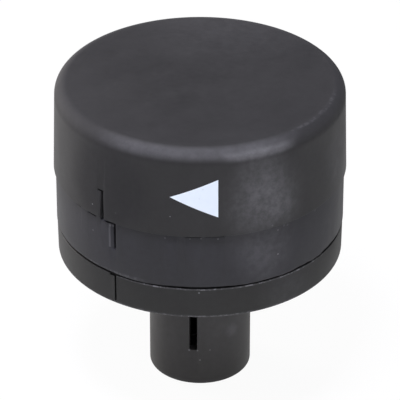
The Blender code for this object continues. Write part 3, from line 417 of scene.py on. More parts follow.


# Black mouldings: fine matte grain, faint clouds and streaks, pale dusty specks and worn edges, and painted
# highlights as pale patches, edge lines and strips

mouldSpec = {
    # noises are (scale, detail, roughness), and ranges the noise values that become 0 and 1
    "cloud": (70.0, 4.0, 0.6),
    "cloudRange": (0.32, 0.68),
    "mottle": (820.0, 3.0, 0.6),
    "streak": (260.0, 3.0, 0.6),
    "streakRun": (1.0, 1.0, 0.05),
    "grain": (3600.0, 3.0, 0.55),
    "grainDepth": 0.012 * mm,
    "patch": (520.0, 5.0, 0.72),
    "patchRange": (0.30, 0.72),
    "chip": (1150.0, 4.0, 0.65),
    "chipRange": (0.47, 0.60),
    "narrowEdge": 1.0,
    # the share of each mark's reach where it is at full strength
    "cores": {"edge": 0.2, "scuff": 0.6, "part": 0.5, "haze": 0.1, "fleck": 0.5, "wearAndHighlightStrip": 0.3},
    "shade": 0.26,
    "shadeShares": (0.35, 0.8, 0.9),
    # the pale colour of dusty specks, wear and painted highlights
    "dust": (0.18, 0.18, 0.184, 1.0),
    "dots": (250.0, 0.10 * mm, 0.05),
    "dotStrength": 0.45,
    "roughness": 0.62,
    "roughShares": (0.10, 0.10, 0.05, 0.3),
    "specular": 0.32,
}


def tinted(level, tint, factor):
    return (*[factor * level * share for share in tint], 1.0)


def wearAndSheenRing(bench, radius, height, reach, core, parts):
    near = bench.near(bench.fromCircle(*inMm(radius, height)), reach * mm, core)
    for x, y, z, span in parts:
        near = near * bench.near(bench.distance(inMm(x, y, z)), span * mm, mouldSpec["cores"]["part"])
    return near


def blackMoulding(name, level, tint, edges=(), scuffs=(), hazes=(), flecks=(), wearAndHighlightStrips=()):
    # in mm: edges are pale, as wear and as painted highlights, and scuffs only rough, both as (radius,
    # height, reach, strength), with (x, y, z, span) after that where only a part is marked
    # painted highlight patches and flecks are (x, y, z, reach, strength), and pale strips of wear and painted
    # highlight (x, y, foot, top, reach, strength)
    spec = mouldSpec
    cores = spec["cores"]
    bench = newFinish(name)
    cloud = bench.between(bench.noise(*spec["cloud"]), *spec["cloudRange"]) - 0.5
    mottle = bench.noise(*spec["mottle"]) - 0.5
    streak = bench.noise(*spec["streak"], bench.stretch(spec["streakRun"])) - 0.5
    grain = bench.noise(*spec["grain"])
    patch = bench.between(bench.noise(*spec["patch"]), *spec["patchRange"])
    chips = bench.between(bench.noise(*spec["chip"]), *spec["chipRange"])
    dark, light = [tinted(level, tint, 1.0 + sign * spec["shade"]) for sign in (-1.0, 1.0)]
    byCloud, byMottle, byStreak = spec["shadeShares"]
    colour = bench.blend(dark, light, 0.5 + byCloud * cloud + byMottle * mottle + byStreak * streak)
    # the pale share: dusty specks, worn edges, and painted highlights on edges, patches and strips
    haze = spec["dotStrength"] * bench.specks(*spec["dots"])
    for radius, height, reach, strength, *parts in edges:
        near = wearAndSheenRing(bench, radius, height, reach, cores["edge"], parts)
        broken = 0.2 + 0.8 * chips if reach < spec["narrowEdge"] else 0.7 + 0.3 * patch
        haze = haze + near * broken * strength
    # painted highlights: pale patches where lamps reflect
    for x, y, z, reach, strength in hazes:
        near = bench.near(bench.distance(inMm(x, y, z)), reach * mm, cores["haze"])
        haze = haze + near * (0.4 + 0.6 * patch) * strength
    for x, y, z, reach, strength in flecks:
        haze = haze + bench.near(bench.distance(inMm(x, y, z)), reach * mm, cores["fleck"]) * strength
    # pale strips: edge wear with a painted highlight along the edge
    for x, y, foot, top, reach, strength in wearAndHighlightStrips:
        near = bench.near(bench.distance(inMm(x, y, 0.0), bench.flat()), reach * mm, cores["wearAndHighlightStrip"])
        height = bench.part("Z")
        haze = haze + near * (height > foot * mm) * (height < top * mm) * strength
    colour = bench.blend(colour, spec["dust"], haze)
    byCloud, byStreak, byGrain, byDustAndSheen = spec["roughShares"]
    rough = spec["roughness"] + byCloud * cloud + byStreak * streak + byGrain * (grain - 0.5) + byDustAndSheen * haze
    for radius, height, reach, strength, *parts in scuffs:
        rough = rough + wearAndSheenRing(bench, radius, height, reach, cores["scuff"], parts) * strength
    bench.set(baseColor=colour, roughness=rough, specular=spec["specular"])
    bench.bump(grain + 0.5 * mottle, spec["grainDepth"], 0.5)
    return bench.owner


capWearAndSheen = {
    # pale top edge: partly wear, partly a painted highlight along the rounded rim, strongest at the front and
    # right front; the widest entry paints a faint sheen over the top
    "edges": [
        (27.5, 36.1, 2.2, 0.05),
        (27.5, 36.1, 2.1, 0.38, (3.0, -27.3, 36.1, 23.0)),
        (28.2, 35.3, 1.4, 0.40, (14.3, -23.5, 35.3, 9.0)),
        (26.6, 36.8, 0.6, 0.20, (25.1, -9.9, 36.6, 12.0)),
        (27.0, 36.9, 16.0, 0.016),
    ],
    "scuffs": [(27.5, 36.1, 2.8, 0.17), (28.8, 26.5, 10.5, 0.22, (-14.8, -24.8, 26.5, 12.0))],
    # painted highlights: the pale bloom where a lamp reflects on the cap's right front, reflections down its
    # right side, and a painted sheen on the back of the top
    "hazes": [
        (15.6, -24.3, 25.4, 11.0, 0.36),
        (16.8, -23.4, 24.6, 7.5, 0.20),
        (15.2, -24.3, 31.5, 8.0, 0.17),
        (12.2, -26.1, 21.6, 5.5, 0.07),
        (19.3, -21.5, 21.5, 5.5, 0.12),
        (28.2, -6.5, 27.0, 8.0, 0.18),
        (28.3, -6.9, 21.6, 5.0, 0.14),
        (3.0, 26.0, 36.9, 26.0, 0.10),
    ],
    "flecks": [
        (-17.84, -22.78, 20.78, 0.18, 1.0),
        (-12.82, -25.94, 21.04, 0.26, 0.10),
        (-1.86, -28.82, 22.84, 0.17, 0.7),
        (17.17, -23.35, 19.12, 0.24, 0.25),
    ],
}
skirtWearAndSheen = {
    # a painted highlight along the lower edge left of the slit, where its round catches light
    "edges": [(28.5, 7.25, 0.5, 0.36, (-15.6, -23.9, 7.25, 11.0))],
    # painted highlights: the lamp's bloom carried down onto the skirt's right front
    "hazes": [(15.4, -24.1, 15.8, 9.5, 0.20), (16.4, -23.4, 10.5, 8.0, 0.14)],
    "flecks": [
        (-17.91, -22.28, 14.61, 0.17, 0.8),
        (18.17, -22.07, 12.0, 0.20, 0.9),
        (-14.09, -24.74, 17.45, 0.32, 0.40),
        (-13.46, -24.87, 17.45, 0.28, 0.50),
        (-2.91, -28.44, 17.75, 0.18, 0.40),
        (1.93, -28.52, 17.98, 0.18, 0.35),
        (4.02, -28.30, 18.08, 0.18, 0.55),
        (7.21, -27.66, 17.89, 0.24, 0.35),
        (18.11, -22.12, 17.45, 0.20, 0.50),
        (19.16, -21.22, 18.04, 0.34, 0.16),
        (19.78, -20.64, 17.86, 0.30, 0.16),
        (24.48, -14.77, 17.96, 0.34, 0.14),
    ],
    # a pale strip along the left edge of the slit's flank: edge wear and a painted highlight
    "wearAndHighlightStrips": [(-14.24, -24.70, 12.6, 17.9, 0.30, 0.28)],
}
ringWearAndSheen = {
    # a pale line along the foot edge, and wear along the top edge
    "edges": [(28.3, 0.15, 0.55, 0.55), (28.5, 6.5, 0.32, 1.0, (10.0, -26.7, 6.5, 27.0))],
    # painted light: a highlight on the right front, and the left lamp's light painted on the left side
    "hazes": [(20.0, -20.1, 2.6, 9.0, 0.14), (-27.0, -9.0, 3.0, 9.0, 0.09)],
    "flecks": [(3.63, -28.25, 5.74, 0.22, 0.8)],
}
stemWearAndSheen = {
    # a painted highlight along the lower edge, against the floor's shade
    "edges": [(10.0, -27.5, 1.0, 0.14)],
    # painted highlights on the stem's right side
    "hazes": [(7.46, -7.01, -16.13, 2.2, 0.26), (7.2, -7.3, -14.0, 11.0, 0.09)],
    "flecks": [
        (-0.82, -10.2, -19.62, 0.25, 0.8),
        (0.86, -10.2, -19.6, 0.23, 0.8),
        (3.34, -9.68, -19.58, 0.17, 0.8),
        (1.37, -10.15, -21.87, 0.21, 0.8),
    ],
}


# Inner finishes: bare metals with tool lines and tarnish, rubber, and two other mouldings

metalSpec = {
    # the run stretches the tool lines
    "copper": {"bright": (0.80, 0.47, 0.32), "dull": (0.50, 0.26, 0.16), "roughness": 0.34,
               "run": (1.0, 1.0, 0.04)},
    "silver": {"bright": (0.86, 0.85, 0.82), "dull": (0.66, 0.64, 0.60), "roughness": 0.30,
               "run": (1.0, 0.3, 1.0)},
    "brass": {"bright": (0.78, 0.61, 0.30), "dull": (0.56, 0.42, 0.19), "roughness": 0.30,
              "run": (0.05, 0.05, 1.0)},
    "bronze": {"bright": (0.60, 0.44, 0.27), "dull": (0.44, 0.31, 0.18), "roughness": 0.48,
               "run": (1.0, 1.0, 1.0), "pitted": 0.5},
    "steel": {"bright": (0.64, 0.64, 0.63), "dull": (0.48, 0.48, 0.475), "roughness": 0.32,
              "run": (0.05, 0.05, 1.0)},
}
metalWear = {
    "lines": (1800.0, 4.0, 0.6),
    "lineDepth": 0.02 * mm,
    "tarnish": (180.0, 5.0, 0.65),
    "tarnishRange": (0.36, 0.72),
    "pores": (1600.0, 0.16 * mm),
}


def bareMetal(name, bright, dull, roughness, run, pitted=0.03):
    spec = metalWear
    bench = newFinish(name)
    lines = bench.noise(*spec["lines"], bench.stretch(run))
    tarnish = bench.between(bench.noise(*spec["tarnish"]), *spec["tarnishRange"])
    pores = bench.specks(*spec["pores"], pitted)
    share = 0.75 * (1.0 - tarnish) + 0.5 * (lines - 0.5) - 0.5 * pores
    bench.set(baseColor=bench.blend((*dull, 1.0), (*bright, 1.0), share), metallic=1.0)
    bench.set(roughness=roughness + 0.16 * (lines - 0.5) + 0.14 * tarnish + 0.2 * pores)
    bench.bump(lines - 0.8 * pores, spec["lineDepth"], 0.4)
    return bench.owner


rubberSpec = {
    "dark": (0.012, 0.012, 0.012, 1.0),
    "pale": (0.042, 0.042, 0.044, 1.0),
    "bloom": (150.0, 5.0, 0.65),
    "bloomRange": (0.42, 0.75),
    "grain": (2600.0, 3.0, 0.6),
    "grainDepth": 0.02 * mm,
    "roughness": 0.70,
    "specular": 0.3,
}


def sealRubber(name):
    spec = rubberSpec
    bench = newFinish(name)
    bloom = bench.between(bench.noise(*spec["bloom"]), *spec["bloomRange"])
    grain = bench.noise(*spec["grain"])
    colour = bench.blend(spec["dark"], spec["pale"], 0.7 * bloom + 0.3 * grain)
    rough = spec["roughness"] + 0.12 * bloom + 0.08 * grain
    bench.set(baseColor=colour, roughness=rough, specular=spec["specular"])
    bench.bump(grain, spec["grainDepth"], 0.5)
    return bench.owner


filledSpec = {
    "dark": (0.050, 0.049, 0.047, 1.0),
    "pale": (0.105, 0.102, 0.098, 1.0),
    "fibre": (1500.0, 3.0, 0.6),
    "fibreRange": (0.52, 0.70),
    "fibreRun": (1.0, 0.2, 0.5),
    "flow": (90.0, 4.0, 0.6),
    "flowRun": (1.0, 1.0, 0.4),
    "skinDepth": 0.02 * mm,
    "roughness": 0.50,
    "specular": 0.4,
}


def filledMoulding(name):
    # glass-filled plastic: short pale fibres and a dull skin
    spec = filledSpec
    bench = newFinish(name)
    fibres = bench.between(bench.noise(*spec["fibre"], bench.stretch(spec["fibreRun"])), *spec["fibreRange"])
    flow = bench.noise(*spec["flow"], bench.stretch(spec["flowRun"]))
    colour = bench.blend(spec["dark"], spec["pale"], 0.6 * flow + 0.4 * fibres)
    rough = spec["roughness"] + 0.16 * (flow - 0.5) - 0.1 * fibres
    bench.set(baseColor=colour, roughness=rough, specular=spec["specular"])
    bench.bump(fibres + flow, spec["skinDepth"], 0.4)
    return bench.owner


naturalSpec = {
    "dark": (0.56, 0.52, 0.43, 1.0),
    "pale": (0.69, 0.65, 0.57, 1.0),
    "stained": (0.36, 0.31, 0.24, 1.0),
    "flow": (110.0, 5.0, 0.6),
    "flowRun": (1.0, 1.0, 0.3),
    "grain": (2400.0, 2.0, 0.5),
    "grainDepth": 0.015 * mm,
    "stain": (320.0, 5.0, 0.7),
    "stainRange": (0.58, 0.76),
    "roughness": 0.36,
    "specular": 0.45,
}


def naturalMoulding(name):
    # undyed plastic: milky, with flow lines and a waxy shine
    spec = naturalSpec
    bench = newFinish(name)
    flow = bench.noise(*spec["flow"], bench.stretch(spec["flowRun"]))
    grain = bench.noise(*spec["grain"])
    stain = bench.between(bench.noise(*spec["stain"]), *spec["stainRange"])
    colour = bench.blend(spec["dark"], spec["pale"], flow)
    colour = bench.blend(colour, spec["stained"], 0.35 * stain)
    rough = spec["roughness"] + 0.12 * (flow - 0.5) + 0.2 * stain
    bench.set(baseColor=colour, roughness=rough, specular=spec["specular"])
    bench.bump(grain + flow, spec["grainDepth"], 0.4)
    return bench.owner


inkSpec = {
    "thin": (0.75, 0.84, 0.91, 1.0),
    "full": (0.84, 0.93, 0.98, 1.0),
    "bare": (0.10, 0.10, 0.105, 1.0),
    "cover": (420.0, 4.0, 0.6),
    "grain": (3600.0, 3.0, 0.55),
    "grainDepth": 0.012 * mm,
    "rubbed": (900.0, 4.0, 0.7),
    "rubbedRange": (0.66, 0.80),
    "holes": (700.0, 0.05 * mm, 0.06),
    "roughness": 0.42,
    "specular": 0.4,
}


def arrowPrint(name):
    # white ink, thin enough to follow the grain, with pinholes and a few rubbed spots
    spec = inkSpec
    bench = newFinish(name)
    cover = bench.noise(*spec["cover"])
    grain = bench.noise(*spec["grain"])
    rubbed = bench.between(bench.noise(*spec["rubbed"]), *spec["rubbedRange"])
    holes = bench.specks(*spec["holes"])
    ink = bench.blend(spec["thin"], spec["full"], cover)
    bench.set(baseColor=bench.blend(ink, spec["bare"], 0.5 * rubbed + 0.6 * holes))
    bench.set(roughness=spec["roughness"] + 0.12 * (cover - 0.5) + 0.1 * grain, specular=spec["specular"])
    bench.bump(grain, spec["grainDepth"], 0.4)
    return bench.owner


finishes = {
    "knob_cap_plastic": blackMoulding("capMoulding", 0.0214, (1.0, 1.0, 1.0), **capWearAndSheen),
    "knob_skirt_plastic": blackMoulding("skirtMoulding", 0.0242, (0.99, 1.0, 1.13), **skirtWearAndSheen),
    "base_ring_plastic": blackMoulding("ringMoulding", 0.0185, (0.99, 1.0, 0.94), **ringWearAndSheen),
    "stem_plastic": blackMoulding("stemMoulding", 0.033, (1.03, 1.0, 0.96), **stemWearAndSheen),
    "housing_plastic": filledMoulding("filledMoulding"),
    "rotor_plastic": naturalMoulding("naturalMoulding"),
    "rubber": sealRubber("sealRubber"),
}
for slot, spec in metalSpec.items():
    finishes[slot] = bareMetal("bare" + slot.capitalize(), **spec)
print("finishes made:", len(finishes))


# Knob cap: a cup with a round top edge, ribs and a hub under its roof, and a slit up from its rim

capSpec = {
    "steps": 288,
    "roundPoints": 14,
    "ribCount": 8,
    "slitAngle": -33.0,
    **lengths(
        draft=0.5, edgeRound=2.45, rimRound=0.16, wall=2.1, roof=2.6, innerRound=0.6,
        hubRadius=7.5, hubFoot=27.2, socketRadius=3.6, socketHalfFlat=3.15, socketTop=30.2,
        insertBore=3.05, insertTop=34.1, ribThickness=1.6, ribHeight=3.6,
        slitHeight=6.3, slitRimWidth=1.1, slitTopWidth=0.56,
        nickLeft=1.15, nickRight=0.35, nickHeight=0.36, nickDepth=0.7,
        recessWidth=8.0, recessDepth=0.9, recessFoot=1.6, recessHeight=2.6, edgeSoftening=0.05,
    ),
}


def makeKnobCap():
    spec = capSpec
    low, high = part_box("knob_cap")
    rim = high.x
    top = rim - spec["draft"]
    bore = top - spec["wall"]
    roof = high.z - spec["roof"]
    inner = spec["innerRound"]
    hub, hubFoot = spec["hubRadius"], spec["hubFoot"]
    insert, insertTop = spec["insertBore"], spec["insertTop"]
    corners = [(0.0, high.z), (top, high.z, spec["edgeRound"]), (rim, low.z, spec["rimRound"])]
    corners += [(bore, low.z, spec["rimRound"]), (bore, roof, inner), (hub, roof, inner), (hub, hubFoot)]
    corners += [(insert, hubFoot), (insert, insertTop), (0.0, insertTop)]
    cap = lathe("knobCap", corners, spec["steps"], False, spec["roundPoints"])

    half = 0.5 * spec["ribThickness"]
    ribLow = (-half, -bore - sink, roof - spec["ribHeight"])
    ribHigh = (half, sink - hub, roof + sink)
    carve(cap, blocksAt("capRibs", ribLow, ribHigh, spaced(spec["ribCount"])), operation="UNION")

    socket = (spec["socketRadius"], spec["socketHalfFlat"], hubFoot - past, spec["socketTop"])
    tools = [flatted("capSocket", *socket)]
    slit = bmesh.new()
    slitTop = low.z + spec["slitHeight"]
    half = 0.5 * spec["slitRimWidth"]
    taper = spec["slitTopWidth"] / spec["slitRimWidth"]
    for vert in block(slit, (-half, -rim - past, low.z - past), (half, past - bore, slitTop), upright):
        if vert.co.z > low.z:
            vert.co.x *= taper
    slit.transform(place(spec["slitAngle"]))
    nickLow = (-spec["nickLeft"], -rim - past, slitTop - spec["nickHeight"])
    nickHigh = (spec["nickRight"], spec["nickDepth"] - rim, slitTop)
    half = 0.5 * spec["recessWidth"]
    recessLow = (-half, -bore - spec["recessDepth"], low.z + spec["recessFoot"])
    recessHigh = (half, past - bore, recessLow[2] + spec["recessHeight"])
    tools += [newPiece("capSlit", slit), blocksAt("capNick", nickLow, nickHigh, [spec["slitAngle"]])]
    tools += [blocksAt("capRecesses", recessLow, recessHigh, snapAngles)]
    carve(cap, *tools)
    softFit(cap, "knob_cap", spec["edgeSoftening"])


# Knob skirt: the band under the cap, with a spigot that goes up inside it and a slit with a sloping flank

skirtSpec = {
    "steps": 288,
    # in degrees and mm: waves are (size, count, start), wear is (angle, size, span, teeth)
    # and sags are (angle, size, span)
    "footWaves": ((0.030, 9.0, 20.0), (0.022, 23.0, 75.0), (0.016, 61.0, 10.0)),
    "footWear": (62.0, 0.16, 34.0, 67.0),
    "footSags": ((-46.0, -0.16, 9.0), (-17.5, 0.30, 9.0), (30.0, 0.19, 8.0),
                 (44.0, 0.29, 5.0), (60.5, 0.31, 4.5), (71.0, -0.17, 5.0)),
    # reliefs in the seam are (first angle, last angle, height)
    "reliefs": ((-49.8, -46.2, 0.42), (-41.6, -36.9, 0.48), (-34.4, -27.4, 0.64),
                (-5.8, -1.2, 0.14), (2.0, 8.2, 0.26), (9.6, 17.3, 0.22)),
    "slitAngle": -27.6,
    "snapCount": 3,
    "snapFirst": 30.0,
    **lengths(
        wall=2.4, footLift=0.05, footReach=0.5, footRound=0.32, shoulderRound=0.10, rootDrop=2.2,
        spigotRadius=26.2, spigotWall=1.3, spigotRound=0.3, seamGap=0.04, reliefDepth=0.8, reliefOver=0.02,
        slitWidth=0.74, slitDepth=1.8, slitHeight=6.2, flankWidth=1.05, flankDepth=0.42, flankOver=0.002,
        snapWidth=7.4, snapHeight=2.0, snapDrop=3.0, snapFace=27.0, edgeSoftening=0.05,
    ),
}
snapAngles = spaced(skirtSpec["snapCount"], skirtSpec["snapFirst"])


def footRise(angle):
    # how far the worn foot is lifted there, in mm
    spec = skirtSpec
    worn, wornLift, wornSpan, wornTeeth = spec["footWear"]
    lift = sum(size * (1.0 + math.sin(math.radians(count * angle + start)))
               for size, count, start in spec["footWaves"])
    teeth = 0.5 + 0.5 * math.sin(math.radians(wornTeeth * angle))
    lift += wornLift * teeth * math.exp(-((angle - worn) / wornSpan) ** 2)
    lift -= sum(sag * math.exp(-((angle - middle) / span) ** 2)
                for middle, sag, span in spec["footSags"])
    return lift


def makeKnobSkirt():
    spec = skirtSpec
    low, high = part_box("knob_skirt")
    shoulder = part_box("knob_cap")[0].z - spec["seamGap"]
    outside = high.x
    bore = outside - spec["wall"]
    spigot = spec["spigotRadius"]
    spigotBore = spigot - spec["spigotWall"]
    root = shoulder - spec["rootDrop"]
    foot = low.z + spec["footLift"]
    corners = [(outside, shoulder, spec["shoulderRound"]), (outside, foot, spec["footRound"])]
    corners += [(bore, foot, spec["footRound"]), (bore, root - (bore - spigotBore)), (spigotBore, root)]
    corners += [(spigotBore, high.z, spec["spigotRound"]), (spigot, high.z, spec["spigotRound"])]
    corners += [(spigot, shoulder)]
    shape = turned(bmesh.new(), outline(corners), spec["steps"])
    for vert in shape.verts:
        if vert.co.z < foot + spec["footReach"]:
            lift = footRise(math.degrees(math.atan2(vert.co.x, -vert.co.y)))
            vert.co.z += lift * mm * (1.0 - (vert.co.z - foot) / spec["footReach"])
    skirt = newPiece("knobSkirt", shape)

    half = 0.5 * spec["snapWidth"]
    lugLow = (-half, -spec["snapFace"], high.z - spec["snapDrop"])
    lugHigh = (half, sink - spigot, lugLow[2] + spec["snapHeight"])
    carve(skirt, blocksAt("snapLugs", lugLow, lugHigh, snapAngles), operation="UNION")

    tools = []
    for first, last, height in spec["reliefs"]:
        radii = (outside - spec["reliefDepth"], outside + past)
        heights = (shoulder - height * mm, shoulder + spec["reliefOver"])
        tools.append(newPiece("seamRelief", arcBlock((first, last), radii, heights)))
    half = 0.5 * spec["slitWidth"]
    slitLow = (-half, -outside - past, shoulder - spec["slitHeight"])
    slitHigh = (half, spec["slitDepth"] - outside, shoulder + past)
    tools.append(blocksAt("skirtSlit", slitLow, slitHigh, [spec["slitAngle"]]))
    flank = bmesh.new()
    flankLow = (-half - spec["flankWidth"], -outside - past, slitLow[2])
    flankHigh = (0.0, spec["flankDepth"] - outside, shoulder + past)
    for vert in block(flank, flankLow, flankHigh, upright):
        if vert.co.x < 0.5 * flankLow[0] and vert.co.y > -outside:
            vert.co.y = -math.sqrt(outside ** 2 - vert.co.x ** 2) - spec["flankOver"]
    flank.transform(place(spec["slitAngle"]))
    tools.append(newPiece("slitFlank", flank))
    carve(skirt, *tools)
    softFit(skirt, "knob_skirt", spec["edgeSoftening"])


# Base ring: fixed under the knob, with two index lines, a gasket groove and sunk screw seats below

ringSpec = {
    "steps": 288,
    "lineAngles": (-27.6, -117.6),
    **lengths(
        draft=0.1, floor=2.6, wall=3.1, topRound=0.14, footRound=0.40, floorRound=0.5,
        grooveInner=21.3, grooveOuter=24.9, grooveRoof=1.2, grooveRound=0.12, stemHole=10.44, stemRound=0.25,
        sinkRadius=2.8, sinkRoof=1.8, holeRadius=1.4, holeOver=0.2, lineWidth=0.42, lineDepth=0.6,
        lineFoot=0.7, notchWidth=1.35, notchHeight=0.34, notchDepth=0.5, edgeSoftening=0.05,
    ),
}
ringScrews = ["ring_screw_1", "ring_screw_2", "ring_screw_3"]


def makeBaseRing():
    spec = ringSpec
    low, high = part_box("base_ring")
    outside = high.x
    bore = outside - spec["wall"]
    grooveOut, grooveIn, grooveRound = spec["grooveOuter"], spec["grooveInner"], spec["grooveRound"]
    corners = [(outside, high.z, spec["topRound"]), (outside - spec["draft"], low.z, spec["footRound"])]
    corners += [(grooveOut, low.z, grooveRound), (grooveOut, spec["grooveRoof"])]
    corners += [(grooveIn, spec["grooveRoof"]), (grooveIn, low.z, grooveRound)]
    corners += [(spec["stemHole"], low.z, spec["stemRound"]), (spec["stemHole"], spec["floor"])]
    corners += [(bore, spec["floor"], spec["floorRound"]), (bore, high.z, spec["topRound"])]
    ring = lathe("baseRing", corners, spec["steps"])

    spots = spotsOf(*ringScrews)
    tools = [rods("ringSinks", spec["sinkRadius"], low.z - past, spec["sinkRoof"], spots)]
    holeFoot = spec["sinkRoof"] - spec["holeOver"]
    tools += [rods("ringHoles", spec["holeRadius"], holeFoot, spec["floor"] + past, spots)]
    half = 0.5 * spec["lineWidth"]
    lineLow = (-half, -outside - past, low.z + spec["lineFoot"])
    lineHigh = (half, spec["lineDepth"] - outside, high.z + past)
    notchLow = (-spec["notchWidth"], -outside - past, high.z - spec["notchHeight"])
    notchHigh = (0.0, spec["notchDepth"] - outside, high.z + past)
    tools += [blocksAt("ringLines", lineLow, lineHigh, spec["lineAngles"])]
    tools += [blocksAt("ringNotches", notchLow, notchHigh, spec["lineAngles"])]
    carve(ring, *tools)
    softFit(ring, "base_ring", spec["edgeSoftening"])


# Stem: a tube with a flange inside the base ring and a narrow slot at the front

stemSpec = {
    "steps": 192,
    "roundPoints": 9,
    "slotSegments": 5,
    "softSegments": 3,
    **lengths(
        radius=10.24, bore=8.335, endRound=0.8, boreRound=0.35, flangeFoot=2.7, flangeRound=0.2,
        slotWidth=1.6, slotTop=-4.5, slotFoot=-19.5, slotCorner=0.32, screwHole=1.4, edgeSoftening=0.07,
    ),
}


def makeStem():
    spec = stemSpec
    low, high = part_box("stem")
    flange, flangeFoot, flangeRound = high.x, spec["flangeFoot"], spec["flangeRound"]
    corners = [(flange, high.z, flangeRound), (flange, flangeFoot, flangeRound), (spec["radius"], flangeFoot)]
    corners += [(spec["radius"], low.z, spec["endRound"])]
    corners += [(spec["bore"], low.z, spec["boreRound"]), (spec["bore"], high.z)]
    stem = lathe("stem", corners, spec["steps"], points=spec["roundPoints"])

    slot = bmesh.new()
    half = 0.5 * spec["slotWidth"]
    reach = spec["radius"] + past
    block(slot, (-half, -reach, spec["slotFoot"]), (half, 0.0, spec["slotTop"]), upright)
    longEdges = [edge for edge in slot.edges if abs((edge.verts[0].co - edge.verts[1].co).y) > half]
    soft = {"offset": spec["slotCorner"], "segments": spec["slotSegments"], "profile": 0.5, "material": -1}
    bmesh.ops.bevel(slot, geom=longEdges, affect="EDGES", **soft)
    holes = rods("stemHoles", spec["screwHole"], flangeFoot - past, high.z + past, spotsOf(*ringScrews))
    carve(stem, newPiece("stemSlot", slot), holes)
    softFit(stem, "stem", spec["edgeSoftening"], spec["softSegments"])


# Turn arrow: a white print that follows the cap's side

arrowSpec = {
    "tipAngle": -3.8,
    "backAngle": 14.6,
    "cuts": 40,
    **lengths(tipHeight=27.1, backLow=22.9, backHigh=31.0, thickness=0.04, proud=0.025),
}


def makeTurnArrow():
    spec = arrowSpec
    low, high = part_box("knob_cap")
    rise = high.z - low.z
    shape = bmesh.new()
    flat = [(spec["tipAngle"], spec["tipHeight"]), (spec["backAngle"], spec["backLow"])]
    flat += [(spec["backAngle"], spec["backHigh"])]
    shape.faces.new([shape.verts.new((angle, 0.0, height)) for angle, height in flat])
    bmesh.ops.subdivide_edges(shape, edges=shape.edges[:], cuts=spec["cuts"], use_grid_fill=True)
    for vert in shape.verts:
        radius = high.x - capSpec["draft"] * (vert.co.z - low.z) / rise + spec["proud"]
        vert.co = place(vert.co.x, radius, vert.co.z).translation
    bmesh.ops.recalc_face_normals(shape, faces=shape.faces)
    if shape.faces[:][0].normal.y > 0.0:
        bmesh.ops.reverse_faces(shape, faces=shape.faces)
    bmesh.ops.solidify(shape, geom=shape.faces[:], thickness=spec["thickness"])
    arrow = newPiece("turnArrow", shape)
    arrow.data.materials.append(arrowPrint("arrowPrint"))
    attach(arrow, bodyOf["knob_cap"])


makeKnobCap()
makeKnobSkirt()
makeBaseRing()
makeStem()
makeTurnArrow()
print("shells made")


# Panel gasket: a flat ring with two sealing lips below

gasketSpec = {
    "steps": 192,
    **lengths(bore=21.5, edge=0.14, lipRise=0.28, lipWidth=0.5, lipSlope=0.25, lipRound=0.1),
}


def makePanelGasket():
    spec = gasketSpec
    low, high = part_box("panel_gasket")
    outside, bore = high.x, spec["bore"]
    flat = low.z + spec["lipRise"]
    near = spec["lipSlope"]
    far = near + spec["lipWidth"]
    lip = (low.z, spec["lipRound"])
    corners = [(outside, high.z, spec["edge"]), (outside, flat)]
    corners += [(outside - near, *lip), (outside - far, *lip), (outside - near - far, flat)]
    corners += [(bore + near + far, flat), (bore + far, *lip), (bore + near, *lip)]
    corners += [(bore, flat), (bore, high.z, spec["edge"])]
    fit(lathe("panelGasket", corners, spec["steps"]), "panel_gasket")


# Small turned pieces: bushes, washers, round seals and contact buttons, each the size of its node

roundSpec = {
    "lower_bush": lengths(bore=3.6, edge=0.22),
    "cover_bush": lengths(bore=3.6, edge=0.22),
    "thrust_washer": lengths(bore=3.6, edge=0.14),
    "hub_screw_washer": lengths(bore=2.2, edge=0.14),
    "shaft_seal": lengths(bore=3.7, edge=0.89),
    "drum_seal": lengths(bore=23.89, edge=1.09),
}
for button in ("fixed_button_left", "fixed_button_right", "bridge_button_front", "bridge_button_back"):
    roundSpec[button] = lengths(bore=0.0, edge=0.2)
roundMesh = {"steps": 120, "points": 7}


def makeRoundPiece(node, bore, edge):
    low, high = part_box(node)
    middle = middleOf(node)
    outside = high.x - middle.x
    corners = [(outside, high.z, edge), (outside, low.z, edge)]
    if bore == 0.0:
        corners = [(0.0, high.z), *corners, (0.0, low.z)]
    else:
        corners += [(bore, low.z, edge), (bore, high.z, edge)]
    fit(lathe(node, corners, closed=bore > 0.0, centre=(middle.x, middle.y, 0.0), **roundMesh), node)


# Screws: a round-edged head with a recess for its driver, and thread grooves at the end of the shank

screwSpec = {
    "hub": {"drive": "hex", **lengths(shank=1.95, head=2.5, pitch=0.7, thread=9.0)},
    "ring": {"drive": "cross", **lengths(shank=1.2, head=1.5, pitch=0.6, thread=5.0)},
    "cover": {"drive": "cross", **lengths(shank=0.95, head=1.5, pitch=0.5, thread=7.0)},
    "contact": {"drive": "slot", **lengths(shank=0.75, head=0.7, pitch=0.4, thread=1.6)},
}
screwShape = {
    # shares of the head's height, the pitch, the shank's radius and the head's radius
    "edgeRound": 0.34,
    "recessDepth": 0.6,
    "grooveDepth": 0.4,
    "tip": 0.66,
    "recessHalf": 0.12,
    "recessReach": {"cross": 0.58, "slot": 2.0},
    "recessAngles": {"cross": (0.0, 90.0), "slot": (0.0,)},
    "steps": 48,
    **lengths(footRound=0.06, hexRadius=1.73, edgeSoftening=0.04),
}
headDown = ["hub", "ring"]


